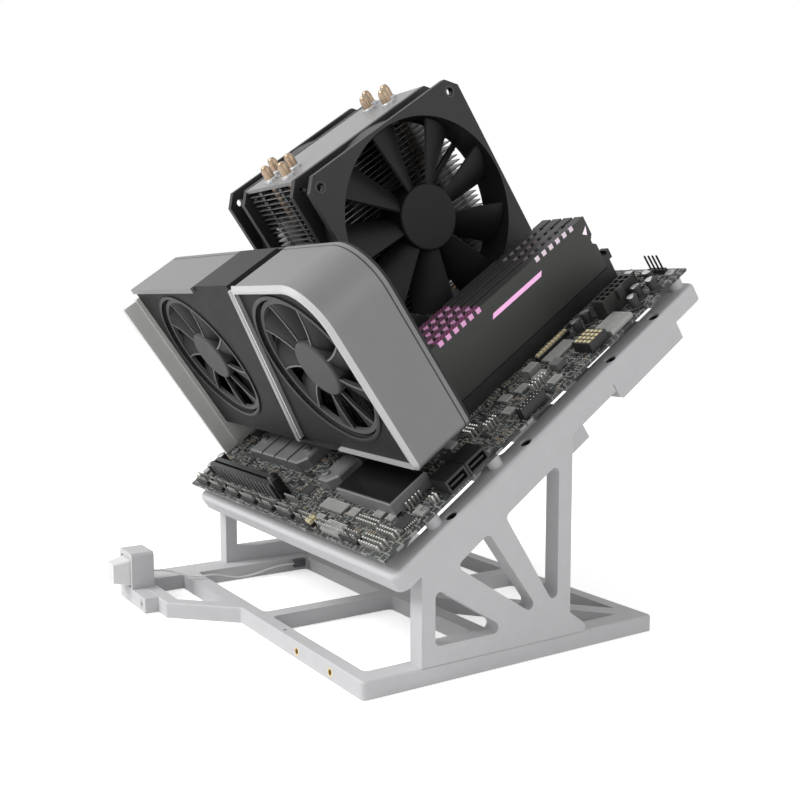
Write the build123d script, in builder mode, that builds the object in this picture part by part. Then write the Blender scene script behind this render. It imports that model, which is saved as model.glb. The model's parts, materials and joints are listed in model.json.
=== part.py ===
import os
from math import cos, radians, sin, tan

from build123d import *

os.makedirs("parts", exist_ok=True)

# Millimetres. X runs to the right, Y to the back, Z up; the base underside is centred on the origin.

# Main board, micro size, and how far the tray reaches past its edges
board_side = 244
board_thickness = 1.6
tray_edge = 1

# Base frame with the arm that carries the power key; it is as wide as the tray
base_width = board_side + 2 * tray_edge
base_length = 190
base_height = 9
right_rail = 12
left_rail = 22
front_rail = 8
rear_rail = 9
middle_rail = 10
middle_rail_x = 4.5
cross_rail = 10
cross_rail_y = -3
bay_corner = 3
arm_reach = 33
arm_front_wall = 8
arm_width = 108
arm_corner = 13
insert_diameter = 4.6
insert_depth = 6
insert_bore = 3
insert_height = 4
# Inserts and pilot hole, measured from the base's right side
insert_spots = (67.6, 31.8)
pilot_spot = 88.6

# Side trusses and the sloping tray
truss_thickness = 10
truss_length = 95
truss_front_y = -62
truss_front_height = 54.5
tray_tilt = 35
post_front = 8
post_rear = 9
chord = 10
foot_gusset = 11
tongue = 4
tray_thickness = 10
tray_length = board_side + 2 * tray_edge
tray_low = -12.5
tray_rim = 12.5
tray_bar = 11
# Cross plate, bar and screws, measured from the tray's high edge
cross_plate_drop = 82.5
cross_plate_length = 57
cross_plate_thickness = 10.5
hanging_bar_drop = 117.5
hanging_bar_length = 14
hanging_bar_depth = 21
truss_screw_spots = (32, 89)
plate_screw_spots = (9, 48)
truss_screw_rows = (-47, 20)
screw_diameter = 3
screw_head = 6
screw_head_height = 2.6

# Place of the board on the tray
board_right_margin = 3
board_low_margin = 2
standoff_height = 7.4
standoff_diameter = 8
# Mounting holes, measured from the connector edge and from the upper edge
board_hole_columns = (10.16, 165.1, board_side - 6.51)
board_hole_rows = (6.35, 163.83, 209.55)
board_hole = 4

# Processor and its tower cooler
# Centre from the board's connector edge and upper edge
cooler_from_left = 88.5
cooler_from_top = 68.5
cooler_axis_height = 85
socket_side = 45
socket_height = 3.2
lid_side = 38
lid_height = 3.3
cold_plate_side = 46
cold_plate_height = 12
pipe_diameter = 6
pipe_pitch = 11
pipe_tip_rise = 10
pipe_swage = 3.5
fin_depth = 61
fin_width = 108
fin_thickness = 0.6
fin_pitch = 3.2
fin_count = 34
cap_thickness = 1.5
fan_side = 120
fan_depth = 25
fan_hole_pitch = 105
fan_bore = 116
fan_hub = 40
fan_flange = 4
fan_blades = 9
fan_root_chord = (11, 15)
fan_tip_chord = (25, 12.5)
fan_blade_sweep = 0.7
blade_gap = 1.2

# Memory
module_count = 4
module_pitch = 9.5
module_from_left = 193
module_length = 133.35
module_from_top = 144
module_board = 1.2
module_thickness = 7.2
module_height = 44.5
slot_height = 9
slot_width = 6.6

# Graphics card
card_length = 238.6
card_depth = 40
card_bottom = 37
card_top = 146
# Slot from the board's upper edge, and the card's front from the slot
card_slot_from_top = 167.5
card_front_reach = 35
card_end_gap = 0.4
card_wall = 2.5
card_bezel = 3.5
card_corner = 26
card_foot = 5
card_fan_height = 94.5
card_fan_radius = 42
card_fan_hub = 16.5
card_fan_depth = 9
card_fan_blades = 9
card_root_chord = (10, 6.2)
card_tip_chord = (22, 4.8)
card_blade_sweep = 0.9
card_fan_ring = 2.4
# Along the card, from its bracket end: fans, dark gap, end of the silver lid, foot of the leaning bar
card_fan_spots = (191.1, 53.6)
card_gap_spots = (149.6, 160.6)
card_lid_length = 102.6
card_bar_foot = 113.6
support_plate = 4

# Power key
# Centre of the key from the base's left side
key_from_left = 26.5
key_height = 18.5
holder_width = 23
holder_front_y = -136
holder_depth = 14
holder_top = 31
holder_foot_length = 46.4
key_pocket = 18.4
key_pocket_depth = 7
key_cap_base = 17.6
key_cap_top = 12.2
key_cap_depth = 12.5
key_cap_wall = 1.5
key_travel = 3
switch_side = 14

# Power lead
lead_diameter = 1.8

half_width = base_width / 2
half_length = base_length / 2
arm_right_foot_x = arm_width - half_width
key_x = key_from_left - half_width
holder_foot_right = key_x - holder_width / 2 + holder_foot_length
tray_high = tray_low + tray_length
cross_plate_low = tray_high - cross_plate_drop
hanging_bar_low = tray_high - hanging_bar_drop
tray_screw_rows = truss_screw_spots + tuple(cross_plate_low + spot for spot in plate_screw_spots)
on_top = (Align.CENTER, Align.CENTER, Align.MIN)
hang = (Align.CENTER, Align.CENTER, Align.MAX)

# Slope frame: x across, s up the slope from the truss front, n square to the slope
tilt = radians(tray_tilt)
slope = Plane(
    origin=(0, truss_front_y, truss_front_height),
    x_dir=(1, 0, 0),
    z_dir=(0, -sin(tilt), cos(tilt)),
)
board_right = half_width - board_right_margin
board_low = tray_low + board_low_margin
board_bottom = tray_thickness + standoff_height
board_top = board_bottom + board_thickness
board_x = board_right - board_side / 2
board_left = board_right - board_side
board_s = board_low + board_side / 2
board_high = board_low + board_side
cooler_x = board_left + cooler_from_left
cooler_s = board_high - cooler_from_top
module_first_x = board_left + module_from_left
module_low = board_high - module_from_top
card_left = board_left + card_end_gap
card_right = card_left + card_length
card_slot_s = board_high - card_slot_from_top
card_front = card_slot_s - card_front_reach
card_back = card_front + card_depth
card_fan_x = [card_left + spot for spot in card_fan_spots]
card_gap_x = [card_left + spot for spot in card_gap_spots]
card_split_x = card_left + card_lid_length


def slope_point(x, s, n):
    return slope.from_local_coords(Vector(x, s, n))


def save(builder, label):
    builder.part.label = label
    export_step(builder.part, f"parts/{label}.step")


def polar(radius, angle):
    return (radius * cos(radians(angle)), radius * sin(radians(angle)))


# Base frame: rails round four bays, a diagonal rib in each rear bay, an arm at the front left
bay_right_x = half_width - right_rail
bay_left_x = left_rail - half_width
bay_front_y = front_rail - half_length
bay_rear_y = half_length - rear_rail
middle_right = middle_rail_x + middle_rail / 2
middle_left = middle_rail_x - middle_rail / 2
cross_front = cross_rail_y - cross_rail / 2
cross_back = cross_rail_y + cross_rail / 2
arm_front_y = -half_length - arm_reach
rib_width = 11

with BuildPart() as base_frame:
    with BuildSketch():
        with BuildLine():
            Polyline(
                (half_width, -half_length),
                (half_width, half_length),
                (-half_width, half_length),
                (-half_width, arm_front_y + 12),
                (arm_corner - half_width, arm_front_y),
                (arm_right_foot_x - arm_reach, arm_front_y),
                (arm_right_foot_x, -half_length),
                close=True,
            )
        make_face()
        fillet(vertices(), 2.5)
        with BuildSketch(mode=Mode.SUBTRACT):
            for low_x, high_x in ((bay_left_x, middle_left), (middle_right, bay_right_x)):
                for low_y, high_y in ((bay_front_y, cross_front), (cross_back, bay_rear_y)):
                    with Locations(((low_x + high_x) / 2, (low_y + high_y) / 2)):
                        RectangleRounded(high_x - low_x, high_y - low_y, bay_corner)
        with BuildLine():
            Polyline(
                (bay_left_x, -half_length - 2),
                (bay_left_x, arm_front_y + arm_front_wall),
                (arm_right_foot_x - arm_reach - 3, arm_front_y + arm_front_wall),
                (arm_right_foot_x - 14, -half_length - 2),
                close=True,
            )
        make_face(mode=Mode.SUBTRACT)
        for start_x, end_x in ((middle_left, bay_left_x), (middle_right, bay_right_x)):
            with BuildLine(mode=Mode.PRIVATE) as rib:
                Line((start_x, cross_back), (end_x, bay_rear_y))
            trace(rib.line, rib_width)
    extrude(amount=base_height)
    top_rim = faces().sort_by(Axis.Z)[-1].outer_wire()
    chamfer(top_rim.edges(), 0.8)
    # Seats for the two brass inserts in the front edge, and a pilot hole on top
    insert_places = [(half_width - spot, -half_length, insert_height) for spot in insert_spots]
    with Locations(insert_places):
        Cylinder(
            insert_diameter / 2, insert_depth, rotation=(90, 0, 0), align=hang, mode=Mode.SUBTRACT
        )
    with Locations((half_width - pilot_spot, -half_length + front_rail / 2, base_height)):
        Hole(1.3, depth=6)
    # Screws come up through the side rails into the trusses
    truss_x = half_width - truss_thickness / 2
    with Locations([(side * truss_x, y, 0) for side in (-1, 1) for y in truss_screw_rows]):
        Cylinder(screw_diameter / 2 + 0.1, base_height, align=on_top, mode=Mode.SUBTRACT)
        Cylinder(screw_head / 2 + 0.3, screw_head_height + 0.6, align=on_top, mode=Mode.SUBTRACT)
    # Hole in the arm's front for the screw of the key holder
    with Locations((holder_foot_right - 6, arm_front_y, base_height / 2)):
        Cylinder(1.5, 12, rotation=(90, 0, 0), mode=Mode.SUBTRACT)
save(base_frame, "base_frame")

with BuildPart() as brass_inserts:
    with Locations(insert_places):
        Cylinder(insert_diameter / 2, insert_depth, rotation=(90, 0, 0), align=hang)
        Cylinder(
            insert_bore / 2, insert_depth - 1, rotation=(90, 0, 0), align=hang, mode=Mode.SUBTRACT
        )
save(brass_inserts, "brass_inserts")


# Truss profile: posts, chords and two struts that meet at the rear foot
truss_rear_y = truss_front_y + truss_length
chord_drop = chord / cos(tilt)
window_floor = base_height + 9.5


def seam_height(y):
    return truss_front_height + (y - truss_front_y) * tan(tilt)


def under_chord(share):
    y = truss_front_y + share * truss_length
    return (y, seam_height(y) - chord_drop)


def build_truss(low_x):
    side_plane = Plane(origin=(low_x, 0, 0), x_dir=(0, 1, 0), z_dir=(1, 0, 0))
    tip = slope_point(0, cross_plate_low - 0.5, 0)
    tip_low = slope_point(0, cross_plate_low - 0.5, -tongue)
    front_share = post_front / truss_length
    rear_share = 1 - post_rear / truss_length
    with BuildPart() as truss:
        with BuildSketch(side_plane):
            with BuildLine():
                Polyline(
                    (truss_front_y, base_height),
                    (truss_rear_y + foot_gusset, base_height),
                    (truss_rear_y + foot_gusset, base_height + 4),
                    (truss_rear_y, base_height + 12),
                    (truss_rear_y, seam_height(truss_rear_y) - tongue / cos(tilt)),
                    (tip_low.Y, tip_low.Z),
                    (tip.Y, tip.Z),
                    (truss_front_y, truss_front_height),
                    close=True,
                )
            make_face()
            windows = (
                (
                    (truss_front_y + post_front, window_floor),
                    (truss_front_y + 0.57 * truss_length, window_floor),
                    under_chord(front_share),
                ),
                (
                    under_chord(0.214),
                    (truss_front_y + 0.83 * truss_length, window_floor),
                    under_chord(0.425),
                ),
                (
                    under_chord(0.535),
                    (truss_rear_y - post_rear, window_floor + 5),
                    under_chord(rear_share),
                ),
            )
            for corners in windows:
                with BuildSketch(side_plane, mode=Mode.SUBTRACT):
                    with BuildLine():
                        Polyline(*corners, close=True)
                    make_face()
                    fillet(vertices(), 3)
        extrude(amount=truss_thickness)
        middle_x = low_x + truss_thickness / 2
        with Locations([(middle_x, y, base_height) for y in truss_screw_rows]):
            Cylinder(screw_diameter / 2, 6, align=on_top, mode=Mode.SUBTRACT)
        with Locations(slope):
            with Locations([(middle_x, s, 0) for s in tray_screw_rows[:2]]):
                Cylinder(screw_diameter / 2, 7, align=hang, mode=Mode.SUBTRACT)
    return truss


save(build_truss(half_width - truss_thickness), "right_truss")
save(build_truss(-half_width), "left_truss")

# Screws from below through the base into the trusses
with BuildPart() as truss_screws:
    with Locations([(side * truss_x, y, 0.6) for side in (-1, 1) for y in truss_screw_rows]):
        Cylinder(screw_head / 2, screw_head_height, align=on_top)
        Cylinder(screw_diameter / 2 - 0.05, base_height + 4, align=on_top)
save(truss_screws, "truss_screws")

# Tray: an open frame with one bar up the slope and one across for the board's standoffs
# The memory stands over the upper middle place, which has no hole
standoff_spots = [
    (board_left + column, board_high - row)
    for column in board_hole_columns
    for row in board_hole_rows
    if (column, row) != (board_hole_columns[1], board_hole_rows[0])
]
tray_s = tray_low + tray_length / 2
bar_x = board_left + board_hole_columns[1]
bar_s = board_high - board_hole_rows[1]
inner_right = half_width - tray_rim
inner_low = tray_low + tray_rim
inner_high = tray_high - tray_rim
screw_spots = [(side * truss_x, s) for side in (-1, 1) for s in tray_screw_rows]

with BuildPart(slope) as tray:
    with BuildSketch(slope):
        with Locations((0, tray_s)):
            RectangleRounded(base_width, tray_length, 6)
        for low_x, high_x in (
            (-inner_right, bar_x - tray_bar / 2),
            (bar_x + tray_bar / 2, inner_right),
        ):
            for low_s, high_s in (
                (inner_low, bar_s - tray_bar / 2),
                (bar_s + tray_bar / 2, inner_high),
            ):
                with Locations(((low_x + high_x) / 2, (low_s + high_s) / 2)):
                    RectangleRounded(high_x - low_x, high_s - low_s, 5, mode=Mode.SUBTRACT)
        # Pad that carries the lower middle standoff
        with Locations((bar_x, board_high - board_hole_rows[2])):
            Circle(9)
    extrude(amount=tray_thickness)
    tray_top = faces().sort_by(Axis((0, 0, 0), tuple(slope.z_dir)))[-1]
    fillet(tray_top.outer_wire().edges(), 2.5)
    with Locations([(x, s, tray_thickness) for x, s in screw_spots]):
        CounterBoreHole(
            screw_diameter / 2 + 0.1, screw_head / 2 + 0.3, screw_head_height + 1, depth=tray_thickness
        )
    with Locations([(x, s, tray_thickness) for x, s in standoff_spots]):
        Hole(1.5, depth=6)
save(tray, "tray")

# Screws from the top of the tray into the trusses and the cross plate
with BuildPart(slope) as tray_screws:
    with Locations([(x, s, tray_thickness - 1) for x, s in screw_spots]):
        Cylinder(screw_head / 2, screw_head_height, align=hang)
        Cylinder(screw_diameter / 2 - 0.05, tray_thickness + 4, align=hang)
save(tray_screws, "tray_screws")

# Cross plate under the high end, flush with the tray sides
with BuildPart(slope) as cross_plate:
    with Locations((0, cross_plate_low + cross_plate_length / 2, 0)):
        Box(base_width, cross_plate_length, cross_plate_thickness, align=hang)
        Box(base_width - 60, cross_plate_length - 24, cross_plate_thickness, align=hang, mode=Mode.SUBTRACT)
    with Locations([(x, s, 0) for x, s in screw_spots if s > cross_plate_low]):
        Cylinder(screw_diameter / 2, 7, align=hang, mode=Mode.SUBTRACT)
    chamfer(edges().filter_by(Axis.X).sort_by(Axis.Z)[:1], 2)
save(cross_plate, "cross_plate")

# Bar that hangs under the tray between the trusses
with BuildPart(slope) as hanging_bar:
    with Locations((0, hanging_bar_low + hanging_bar_length / 2, 0)):
        Box(2 * inner_right, hanging_bar_length, hanging_bar_depth, align=hang)
save(hanging_bar, "hanging_bar")

# Round printed standoffs, board and board screws
with BuildPart(slope) as standoffs:
    for x, s in standoff_spots:
        with BuildSketch(Plane(slope_point(x, s, tray_thickness), slope.x_dir, slope.z_dir)):
            Circle(standoff_diameter / 2)
            Circle(1.5, mode=Mode.SUBTRACT)
        extrude(amount=standoff_height)
save(standoffs, "standoffs")

with BuildPart(slope) as main_board:
    with Locations((board_x, board_s, board_bottom)):
        Box(board_side, board_side, board_thickness, align=on_top)
    with Locations([(x, s, board_top) for x, s in standoff_spots]):
        Hole(board_hole / 2, depth=board_thickness)
save(main_board, "main_board")

with BuildPart(slope) as board_screws:
    with Locations([(x, s, board_top) for x, s in standoff_spots]):
        Cylinder(2.9, 1.8, align=on_top)
        Cylinder(1.4, board_thickness + 4, align=hang)
save(board_screws, "board_screws")


def blocks(label, sizes):
    # Plain blocks standing on the board: centre x, centre s, width, length, height
    with BuildPart(slope) as group:
        for x, s, width, length, height in sizes:
            with Locations((x, s, board_top)):
                Box(width, length, height, align=on_top)
    save(group, label)


# Processor, socket and the cooler's mounting bars
blocks("processor_socket", [(cooler_x, cooler_s, socket_side, socket_side + 8, socket_height)])
lid_bottom = board_top + socket_height
cold_bottom = lid_bottom + lid_height
with BuildPart(slope) as processor:
    with Locations((cooler_x, cooler_s, lid_bottom)):
        Box(lid_side, lid_side, lid_height, align=on_top)
save(processor, "processor")

pipe_floor = cold_bottom + cold_plate_height / 2
mount_bar = 8
bar_pitch = cold_plate_side + mount_bar
with BuildPart(slope) as cold_plate:
    with Locations((cooler_x, cooler_s, cold_bottom)):
        Box(cold_plate_side, cold_plate_side, cold_plate_height, align=on_top)
    for place in range(4):
        pipe_x = cooler_x + (place - 1.5) * pipe_pitch
        with Locations((pipe_x, cooler_s, pipe_floor)):
            Cylinder(pipe_diameter / 2, cold_plate_side, rotation=(90, 0, 0), mode=Mode.SUBTRACT)
save(cold_plate, "cold_plate")

with BuildPart(slope) as cooler_mount:
    with Locations([(cooler_x + side * bar_pitch / 2, cooler_s, cold_bottom) for side in (-1, 1)]):
        Box(mount_bar, 86, 2.5, align=on_top)
    with Locations((cooler_x, cooler_s, board_top)):
        with GridLocations(bar_pitch, 78, 2, 2):
            Cylinder(3, cold_bottom - board_top, align=on_top)
save(cooler_mount, "cooler_mount")

# Plate behind the board that the cooler's studs pull on
back_plate_thickness = 2
with BuildPart(slope) as cooler_back_plate:
    with Locations((cooler_x, cooler_s, board_bottom)):
        Box(bar_pitch + 2 * mount_bar, 78 + 2 * mount_bar, back_plate_thickness, align=hang)
        Box(bar_pitch - mount_bar, 78 - mount_bar, back_plate_thickness, align=hang, mode=Mode.SUBTRACT)
    fillet(edges().filter_by(Axis((0, 0, 0), tuple(slope.z_dir))), 3)
save(cooler_back_plate, "cooler_back_plate")

# Heat pipes: four U bends from the tips on one side through the cold plate to the other side
fan_axis = board_top + cooler_axis_height
fin_bottom = fan_axis - fan_side / 2 + 12
fin_top = fin_bottom + (fin_count - 1) * fin_pitch + fin_thickness
cap_top = fin_top + cap_thickness
tip_top = cap_top + pipe_tip_rise
pipe_spots = []
with BuildPart() as heat_pipes:
    for place in range(4):
        pipe_x = cooler_x + (place - 1.5) * pipe_pitch
        low_s = cooler_s - (47 if place % 2 else 35)
        high_s = cooler_s + (36 if place % 2 else 46)
        pipe_spots += [(pipe_x, low_s), (pipe_x, high_s)]
        pipe_plane = Plane(slope_point(pipe_x, 0, 0), slope.y_dir, slope.x_dir)
        with BuildLine(pipe_plane) as run:
            FilletPolyline(
                (low_s, tip_top - pipe_swage),
                (low_s, pipe_floor),
                (high_s, pipe_floor),
                (high_s, tip_top - pipe_swage),
                radius=12,
            )
        pipe_end = Plane(slope_point(pipe_x, low_s, tip_top - pipe_swage), slope.x_dir, -slope.z_dir)
        with BuildSketch(pipe_end):
            Circle(pipe_diameter / 2)
        sweep(path=run.line)
        # Ends drawn down to a blunt nose where the pipe is sealed
        with Locations(slope):
            with Locations([(pipe_x, s, tip_top - pipe_swage) for s in (low_s, high_s)]):
                Cone(pipe_diameter / 2, pipe_diameter / 4, pipe_swage, align=on_top)
save(heat_pipes, "heat_pipes")

with BuildPart(slope) as cooler_fins:
    for level in range(fin_count):
        with Locations((cooler_x, cooler_s, fin_bottom + level * fin_pitch)):
            Box(fin_depth, fin_width, fin_thickness, align=on_top)
save(cooler_fins, "cooler_fins")

with BuildPart(slope) as cooler_cap:
    with Locations((cooler_x, cooler_s, fin_top)):
        Box(fin_depth, fin_width, cap_thickness, align=on_top)
    with Locations([(x, s, cap_top) for x, s in pipe_spots]):
        Hole(pipe_diameter / 2, depth=cap_thickness)
save(cooler_cap, "cooler_cap")


def build_blade(root, tip, thickness, root_chord, tip_chord, blade_sweep):
    # One twisted blade on the X axis, steep at the hub and flatter at the tip, its front edge on the +Y side
    with BuildPart() as blade:
        for radius, (width, depth), lead in ((root, root_chord, 0.45), (tip + 1, tip_chord, blade_sweep)):
            rear = Vector((lead - 1) * width, -thickness - depth)
            front = Vector(lead * width, -thickness)
            chord = front - rear
            across = Vector(-chord.Y, chord.X).normalized()
            middle = (rear + front) / 2 + across * 0.1 * chord.length
            under = across * -thickness
            with BuildSketch(Plane.YZ.offset(radius)):
                with BuildLine():
                    ThreePointArc(rear, middle, front)
                    Line(front, front + under)
                    ThreePointArc(front + under, middle + under, rear + under)
                    Line(rear + under, rear)
                make_face()
        loft()
        Cylinder(tip, 6 * root_chord[1], mode=Mode.INTERSECT)
    return blade.part


def build_rotor(plane, hub, tip, hub_depth, blade_shape, blade_count, ring, shaft_bore, bore_depth):
    # Hub with its blades, the front of the hub on the plane; a ring ties the blade tips if asked
    blade = build_blade(hub - 3, tip, 1.4, *blade_shape)
    with BuildPart(plane) as rotor:
        Cylinder(hub, hub_depth, align=hang)
        fillet(edges().sort_by(Axis(plane.origin, plane.z_dir))[-1], 1.5)
        with PolarLocations(0, blade_count):
            add(blade)
        if ring:
            with BuildSketch(plane.offset(-1)):
                Circle(tip + 0.6)
                Circle(tip + 0.6 - ring, mode=Mode.SUBTRACT)
            extrude(amount=-ring)
        with Locations((0, 0, -hub_depth)):
            Cylinder(
                shaft_bore / 2, bore_depth, align=on_top, mode=Mode.SUBTRACT
            )
    return rotor


# Cooler fans: two square frames, one each side of the fins, both blowing towards the connector edge
shaft_diameter = 3
shaft_gap = 0.05
rotor_depth = 19
rotor_inset = 1.5


def fan_plane(front_x):
    return Plane(slope_point(front_x, cooler_s, fan_axis), slope.y_dir, slope.x_dir)


def build_fan_frame(plane):
    with BuildPart(plane) as frame:
        for level in (0, fan_flange - fan_depth):
            with BuildSketch(plane.offset(level)):
                Rectangle(fan_side, fan_side)
                chamfer(vertices(), 7)
                Circle(fan_bore / 2, mode=Mode.SUBTRACT)
                with GridLocations(fan_hole_pitch, fan_hole_pitch, 2, 2):
                    Circle(2.2, mode=Mode.SUBTRACT)
            extrude(amount=-fan_flange)
        with BuildSketch(plane.offset(-fan_flange)):
            Circle(fan_side / 2 - 0.4)
            Circle(fan_bore / 2, mode=Mode.SUBTRACT)
        extrude(amount=2 * fan_flange - fan_depth)
        # Motor seat on four struts at the outlet side, with the shaft on it
        with BuildSketch(plane.offset(-fan_depth)):
            Circle(fan_hub / 2)
            with PolarLocations(fan_bore / 4 + 4, 4, start_angle=20):
                Rectangle(fan_bore / 2 - 6, 3.2)
        extrude(amount=2.5)
        with Locations((0, 0, -fan_depth)):
            Cylinder(shaft_diameter / 2, 14, align=on_top)
    return frame


fin_front = cooler_x + fin_depth / 2
front_fan_plane = fan_plane(fin_front + fan_depth)
rear_fan_plane = fan_plane(cooler_x - fin_depth / 2)
for side, plane in (("front", front_fan_plane), ("rear", rear_fan_plane)):
    save(build_fan_frame(plane), f"{side}_fan_frame")
    rotor = build_rotor(
        plane.offset(-rotor_inset),
        fan_hub / 2 - 0.5,
        fan_bore / 2 - blade_gap,
        rotor_depth,
        (fan_root_chord, fan_tip_chord, fan_blade_sweep),
        fan_blades,
        0,
        shaft_diameter + 2 * shaft_gap,
        fan_depth - 9,
    )
    save(rotor, f"{side}_fan_rotor")

# Memory: sockets, latches, module boards, heat spreaders and light bars
module_x = [module_first_x - place * module_pitch for place in range(module_count)]
module_s = module_low + module_length / 2
module_bottom = board_top + 2.5
module_top = board_top + module_height
spreader_bottom = board_top + slot_height + 0.6
bar_height = 4
bar_width = module_thickness - 2.4
bar_gap = 0.1
bar_bottom = module_top - bar_height
latch_length = 4
latch_ear = 2.5

with BuildPart(slope) as memory_sockets:
    for x in module_x:
        with Locations((x, module_s, board_top)):
            Box(slot_width, module_length + 1, slot_height, align=on_top)
        with Locations((x, module_s, module_bottom)):
            Box(module_board, module_length, slot_height, align=on_top, mode=Mode.SUBTRACT)
save(memory_sockets, "memory_sockets")

with BuildPart(slope) as memory_latches:
    for x in module_x:
        for side in (-1, 1):
            s = module_s + side * (module_length + 1 + latch_length) / 2
            with Locations((x, s, board_top)):
                Box(slot_width - 0.6, latch_length, slot_height + 7, align=on_top)
            # Thumb ear leaning out at the top of the latch
            with Locations((x, s + side * (latch_length + latch_ear) / 2, board_top + slot_height + 3)):
                Box(slot_width - 0.6, latch_ear, 6, align=on_top)
save(memory_latches, "memory_latches")

with BuildPart(slope) as memory_boards:
    for x in module_x:
        with Locations((x, module_s, module_bottom)):
            Box(module_board, module_length, bar_bottom - module_bottom, align=on_top)
save(memory_boards, "memory_boards")

# Spreader walls run up past the light bar; windows cut into their top edge let its light out at both ends
window_pitch = 6.06
window_count = 6
window_width = 4
window_height = 3
windows_from_low = (25.9, 106.6)
with BuildPart() as heat_spreaders:
    for x in module_x:
        with BuildSketch(Plane(slope_point(x - module_thickness / 2, 0, 0), slope.y_dir, slope.x_dir)):
            with BuildLine():
                Polyline(
                    (module_low, spreader_bottom),
                    (module_low + module_length, spreader_bottom),
                    (module_low + module_length, module_top - 19),
                    (module_low + module_length - 3.5, module_top - 16),
                    (module_low + module_length, module_top - 12),
                    (module_low + module_length, module_top),
                    (module_low, module_top),
                    close=True,
                )
            make_face()
        extrude(amount=module_thickness)
    with Locations(slope):
        for x in module_x:
            with Locations((x, module_s, module_bottom)):
                Box(module_board, module_length, bar_bottom - module_bottom, align=on_top, mode=Mode.SUBTRACT)
            with Locations((x, module_s, bar_bottom)):
                Box(bar_width + 2 * bar_gap, module_length, bar_height, align=on_top, mode=Mode.SUBTRACT)
            for low in windows_from_low:
                with Locations((x, module_low + low, module_top)):
                    with GridLocations(0, window_pitch, 1, window_count):
                        Box(module_thickness, window_width, window_height, align=hang, mode=Mode.SUBTRACT)
save(heat_spreaders, "heat_spreaders")

with BuildPart(slope) as light_bars:
    for x in module_x:
        with Locations((x, module_s, bar_bottom)):
            Box(bar_width, module_length - 2 * bar_gap, bar_height, align=on_top)
save(light_bars, "light_bars")

# Board parts: expansion sockets, power socket, heat sinks, ports, headers, chips
socket_from_left = 24
socket_length = 89
low_slot_margin = 15.54
socket_x = board_left + socket_from_left + socket_length / 2
low_slot_s = board_low + low_slot_margin
with BuildPart(slope) as card_sockets:
    for s in (card_slot_s, low_slot_s):
        with Locations((socket_x, s, board_top)):
            Box(socket_length, 7.5, 11, align=on_top)
        with Locations((socket_x, s, board_top + 4)):
            Box(socket_length - 4, 1.6, 11, align=on_top, mode=Mode.SUBTRACT)
save(card_sockets, "card_sockets")

power_socket_from_top = 36.5
power_socket_from_right = 20.5
power_socket_height = 12
power_socket_length = 28
with BuildPart(slope) as power_socket:
    with Locations((board_right - power_socket_from_right, board_high - power_socket_from_top, board_top)):
        Box(9, power_socket_length, power_socket_height, align=on_top)
        with Locations((0, 0, power_socket_height)):
            with GridLocations(4.2, 4.2, 2, 6):
                Box(3.2, 3.2, 8, align=hang, mode=Mode.SUBTRACT)
        # Ledge that the plug's clip catches
        with Locations((5.25, 0, power_socket_height / 2)):
            Box(1.5, 5, power_socket_height / 2, align=on_top)
save(power_socket, "power_socket")

# Heat sinks: blocks with grooves across; places from the connector edge and from the upper edge
groove = 2.4


def build_sink(label, sinks):
    # Each sink: from left, from top, width, length, height, grooves, groove depth
    with BuildPart(slope) as sink:
        for left, top, width, length, height, count, depth in sinks:
            x = board_left + left
            s = board_high - top
            with Locations((x, s, board_top)):
                Box(width, length, height, align=on_top)
            with Locations((x, s, board_top + height)):
                if length > width:
                    with GridLocations(0, length / (count + 1), 1, count):
                        Box(width, groove, depth, align=hang, mode=Mode.SUBTRACT)
                else:
                    with GridLocations(width / (count + 1), 0, count, 1):
                        Box(groove, length, depth, align=hang, mode=Mode.SUBTRACT)
    save(sink, label)


build_sink("voltage_sinks", [(92, 10.5, 96, 14, 22, 12, 12), (29, 65.5, 13, 74, 22, 9, 12)])

# Flat cooling plates: chipset from the right and low edges; drive covers between the slots and beside them
plate_bevel = 1
with BuildPart(slope) as chipset_sink:
    with Locations((board_right - 47.5, board_low + 38.5, board_top)):
        Box(54, 26, 9, align=on_top)
    chamfer(faces().sort_by(Axis((0, 0, 0), tuple(slope.z_dir)))[-1].edges(), plate_bevel)
save(chipset_sink, "chipset_sink")

cover_height = 7
cover_length = 22
cover_cut = 6
covers = (
    (board_left + 75.5, (card_slot_s + low_slot_s) / 2, 71),
    (board_right - 95, board_low + 40, 16),
)
with BuildPart() as storage_cover:
    for x, s, width in covers:
        with BuildSketch(Plane(slope_point(x, s, board_top), slope.x_dir, slope.z_dir)):
            Rectangle(width, cover_length)
            chamfer(vertices().sort_by(Axis.X)[-1], cover_cut)
        extrude(amount=cover_height)
    chamfer(faces().group_by(Axis((0, 0, 0), tuple(slope.z_dir)))[-1].edges(), plate_bevel)
    # Grooves across the long cover
    with Locations(slope):
        with Locations((covers[0][0], covers[0][1], board_top + cover_height)):
            with GridLocations(covers[0][2] / 4, 0, 3, 1):
                Box(groove, cover_length, 1, align=hang, mode=Mode.SUBTRACT)
save(storage_cover, "storage_cover")

# Ports on the connector edge: from the upper edge, length, height, openings one over the other
port_depth = 22
port_overhang = 1
port_wall = 1.5
port_mouth = 12
port_x = board_left - port_overhang
with BuildPart(slope) as rear_ports:
    for top, length, height, mouths in (
        (137.5, 24, 30, 2),
        (107.5, 16, 22, 2),
        (86.5, 14, 20, 2),
        (66.5, 16, 16, 1),
        (45.5, 15, 12, 1),
        (24.5, 16, 20, 2),
    ):
        with Locations((port_x + port_depth / 2, board_high - top, board_top)):
            Box(port_depth, length, height, align=on_top)
        mouth = (height - port_wall) / mouths - port_wall
        for level in range(mouths):
            floor = board_top + port_wall + level * (mouth + port_wall)
            with Locations((port_x + port_mouth / 2, board_high - top, floor)):
                Box(port_mouth, length - 2 * port_wall, mouth, align=on_top, mode=Mode.SUBTRACT)
save(rear_ports, "rear_ports")

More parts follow.
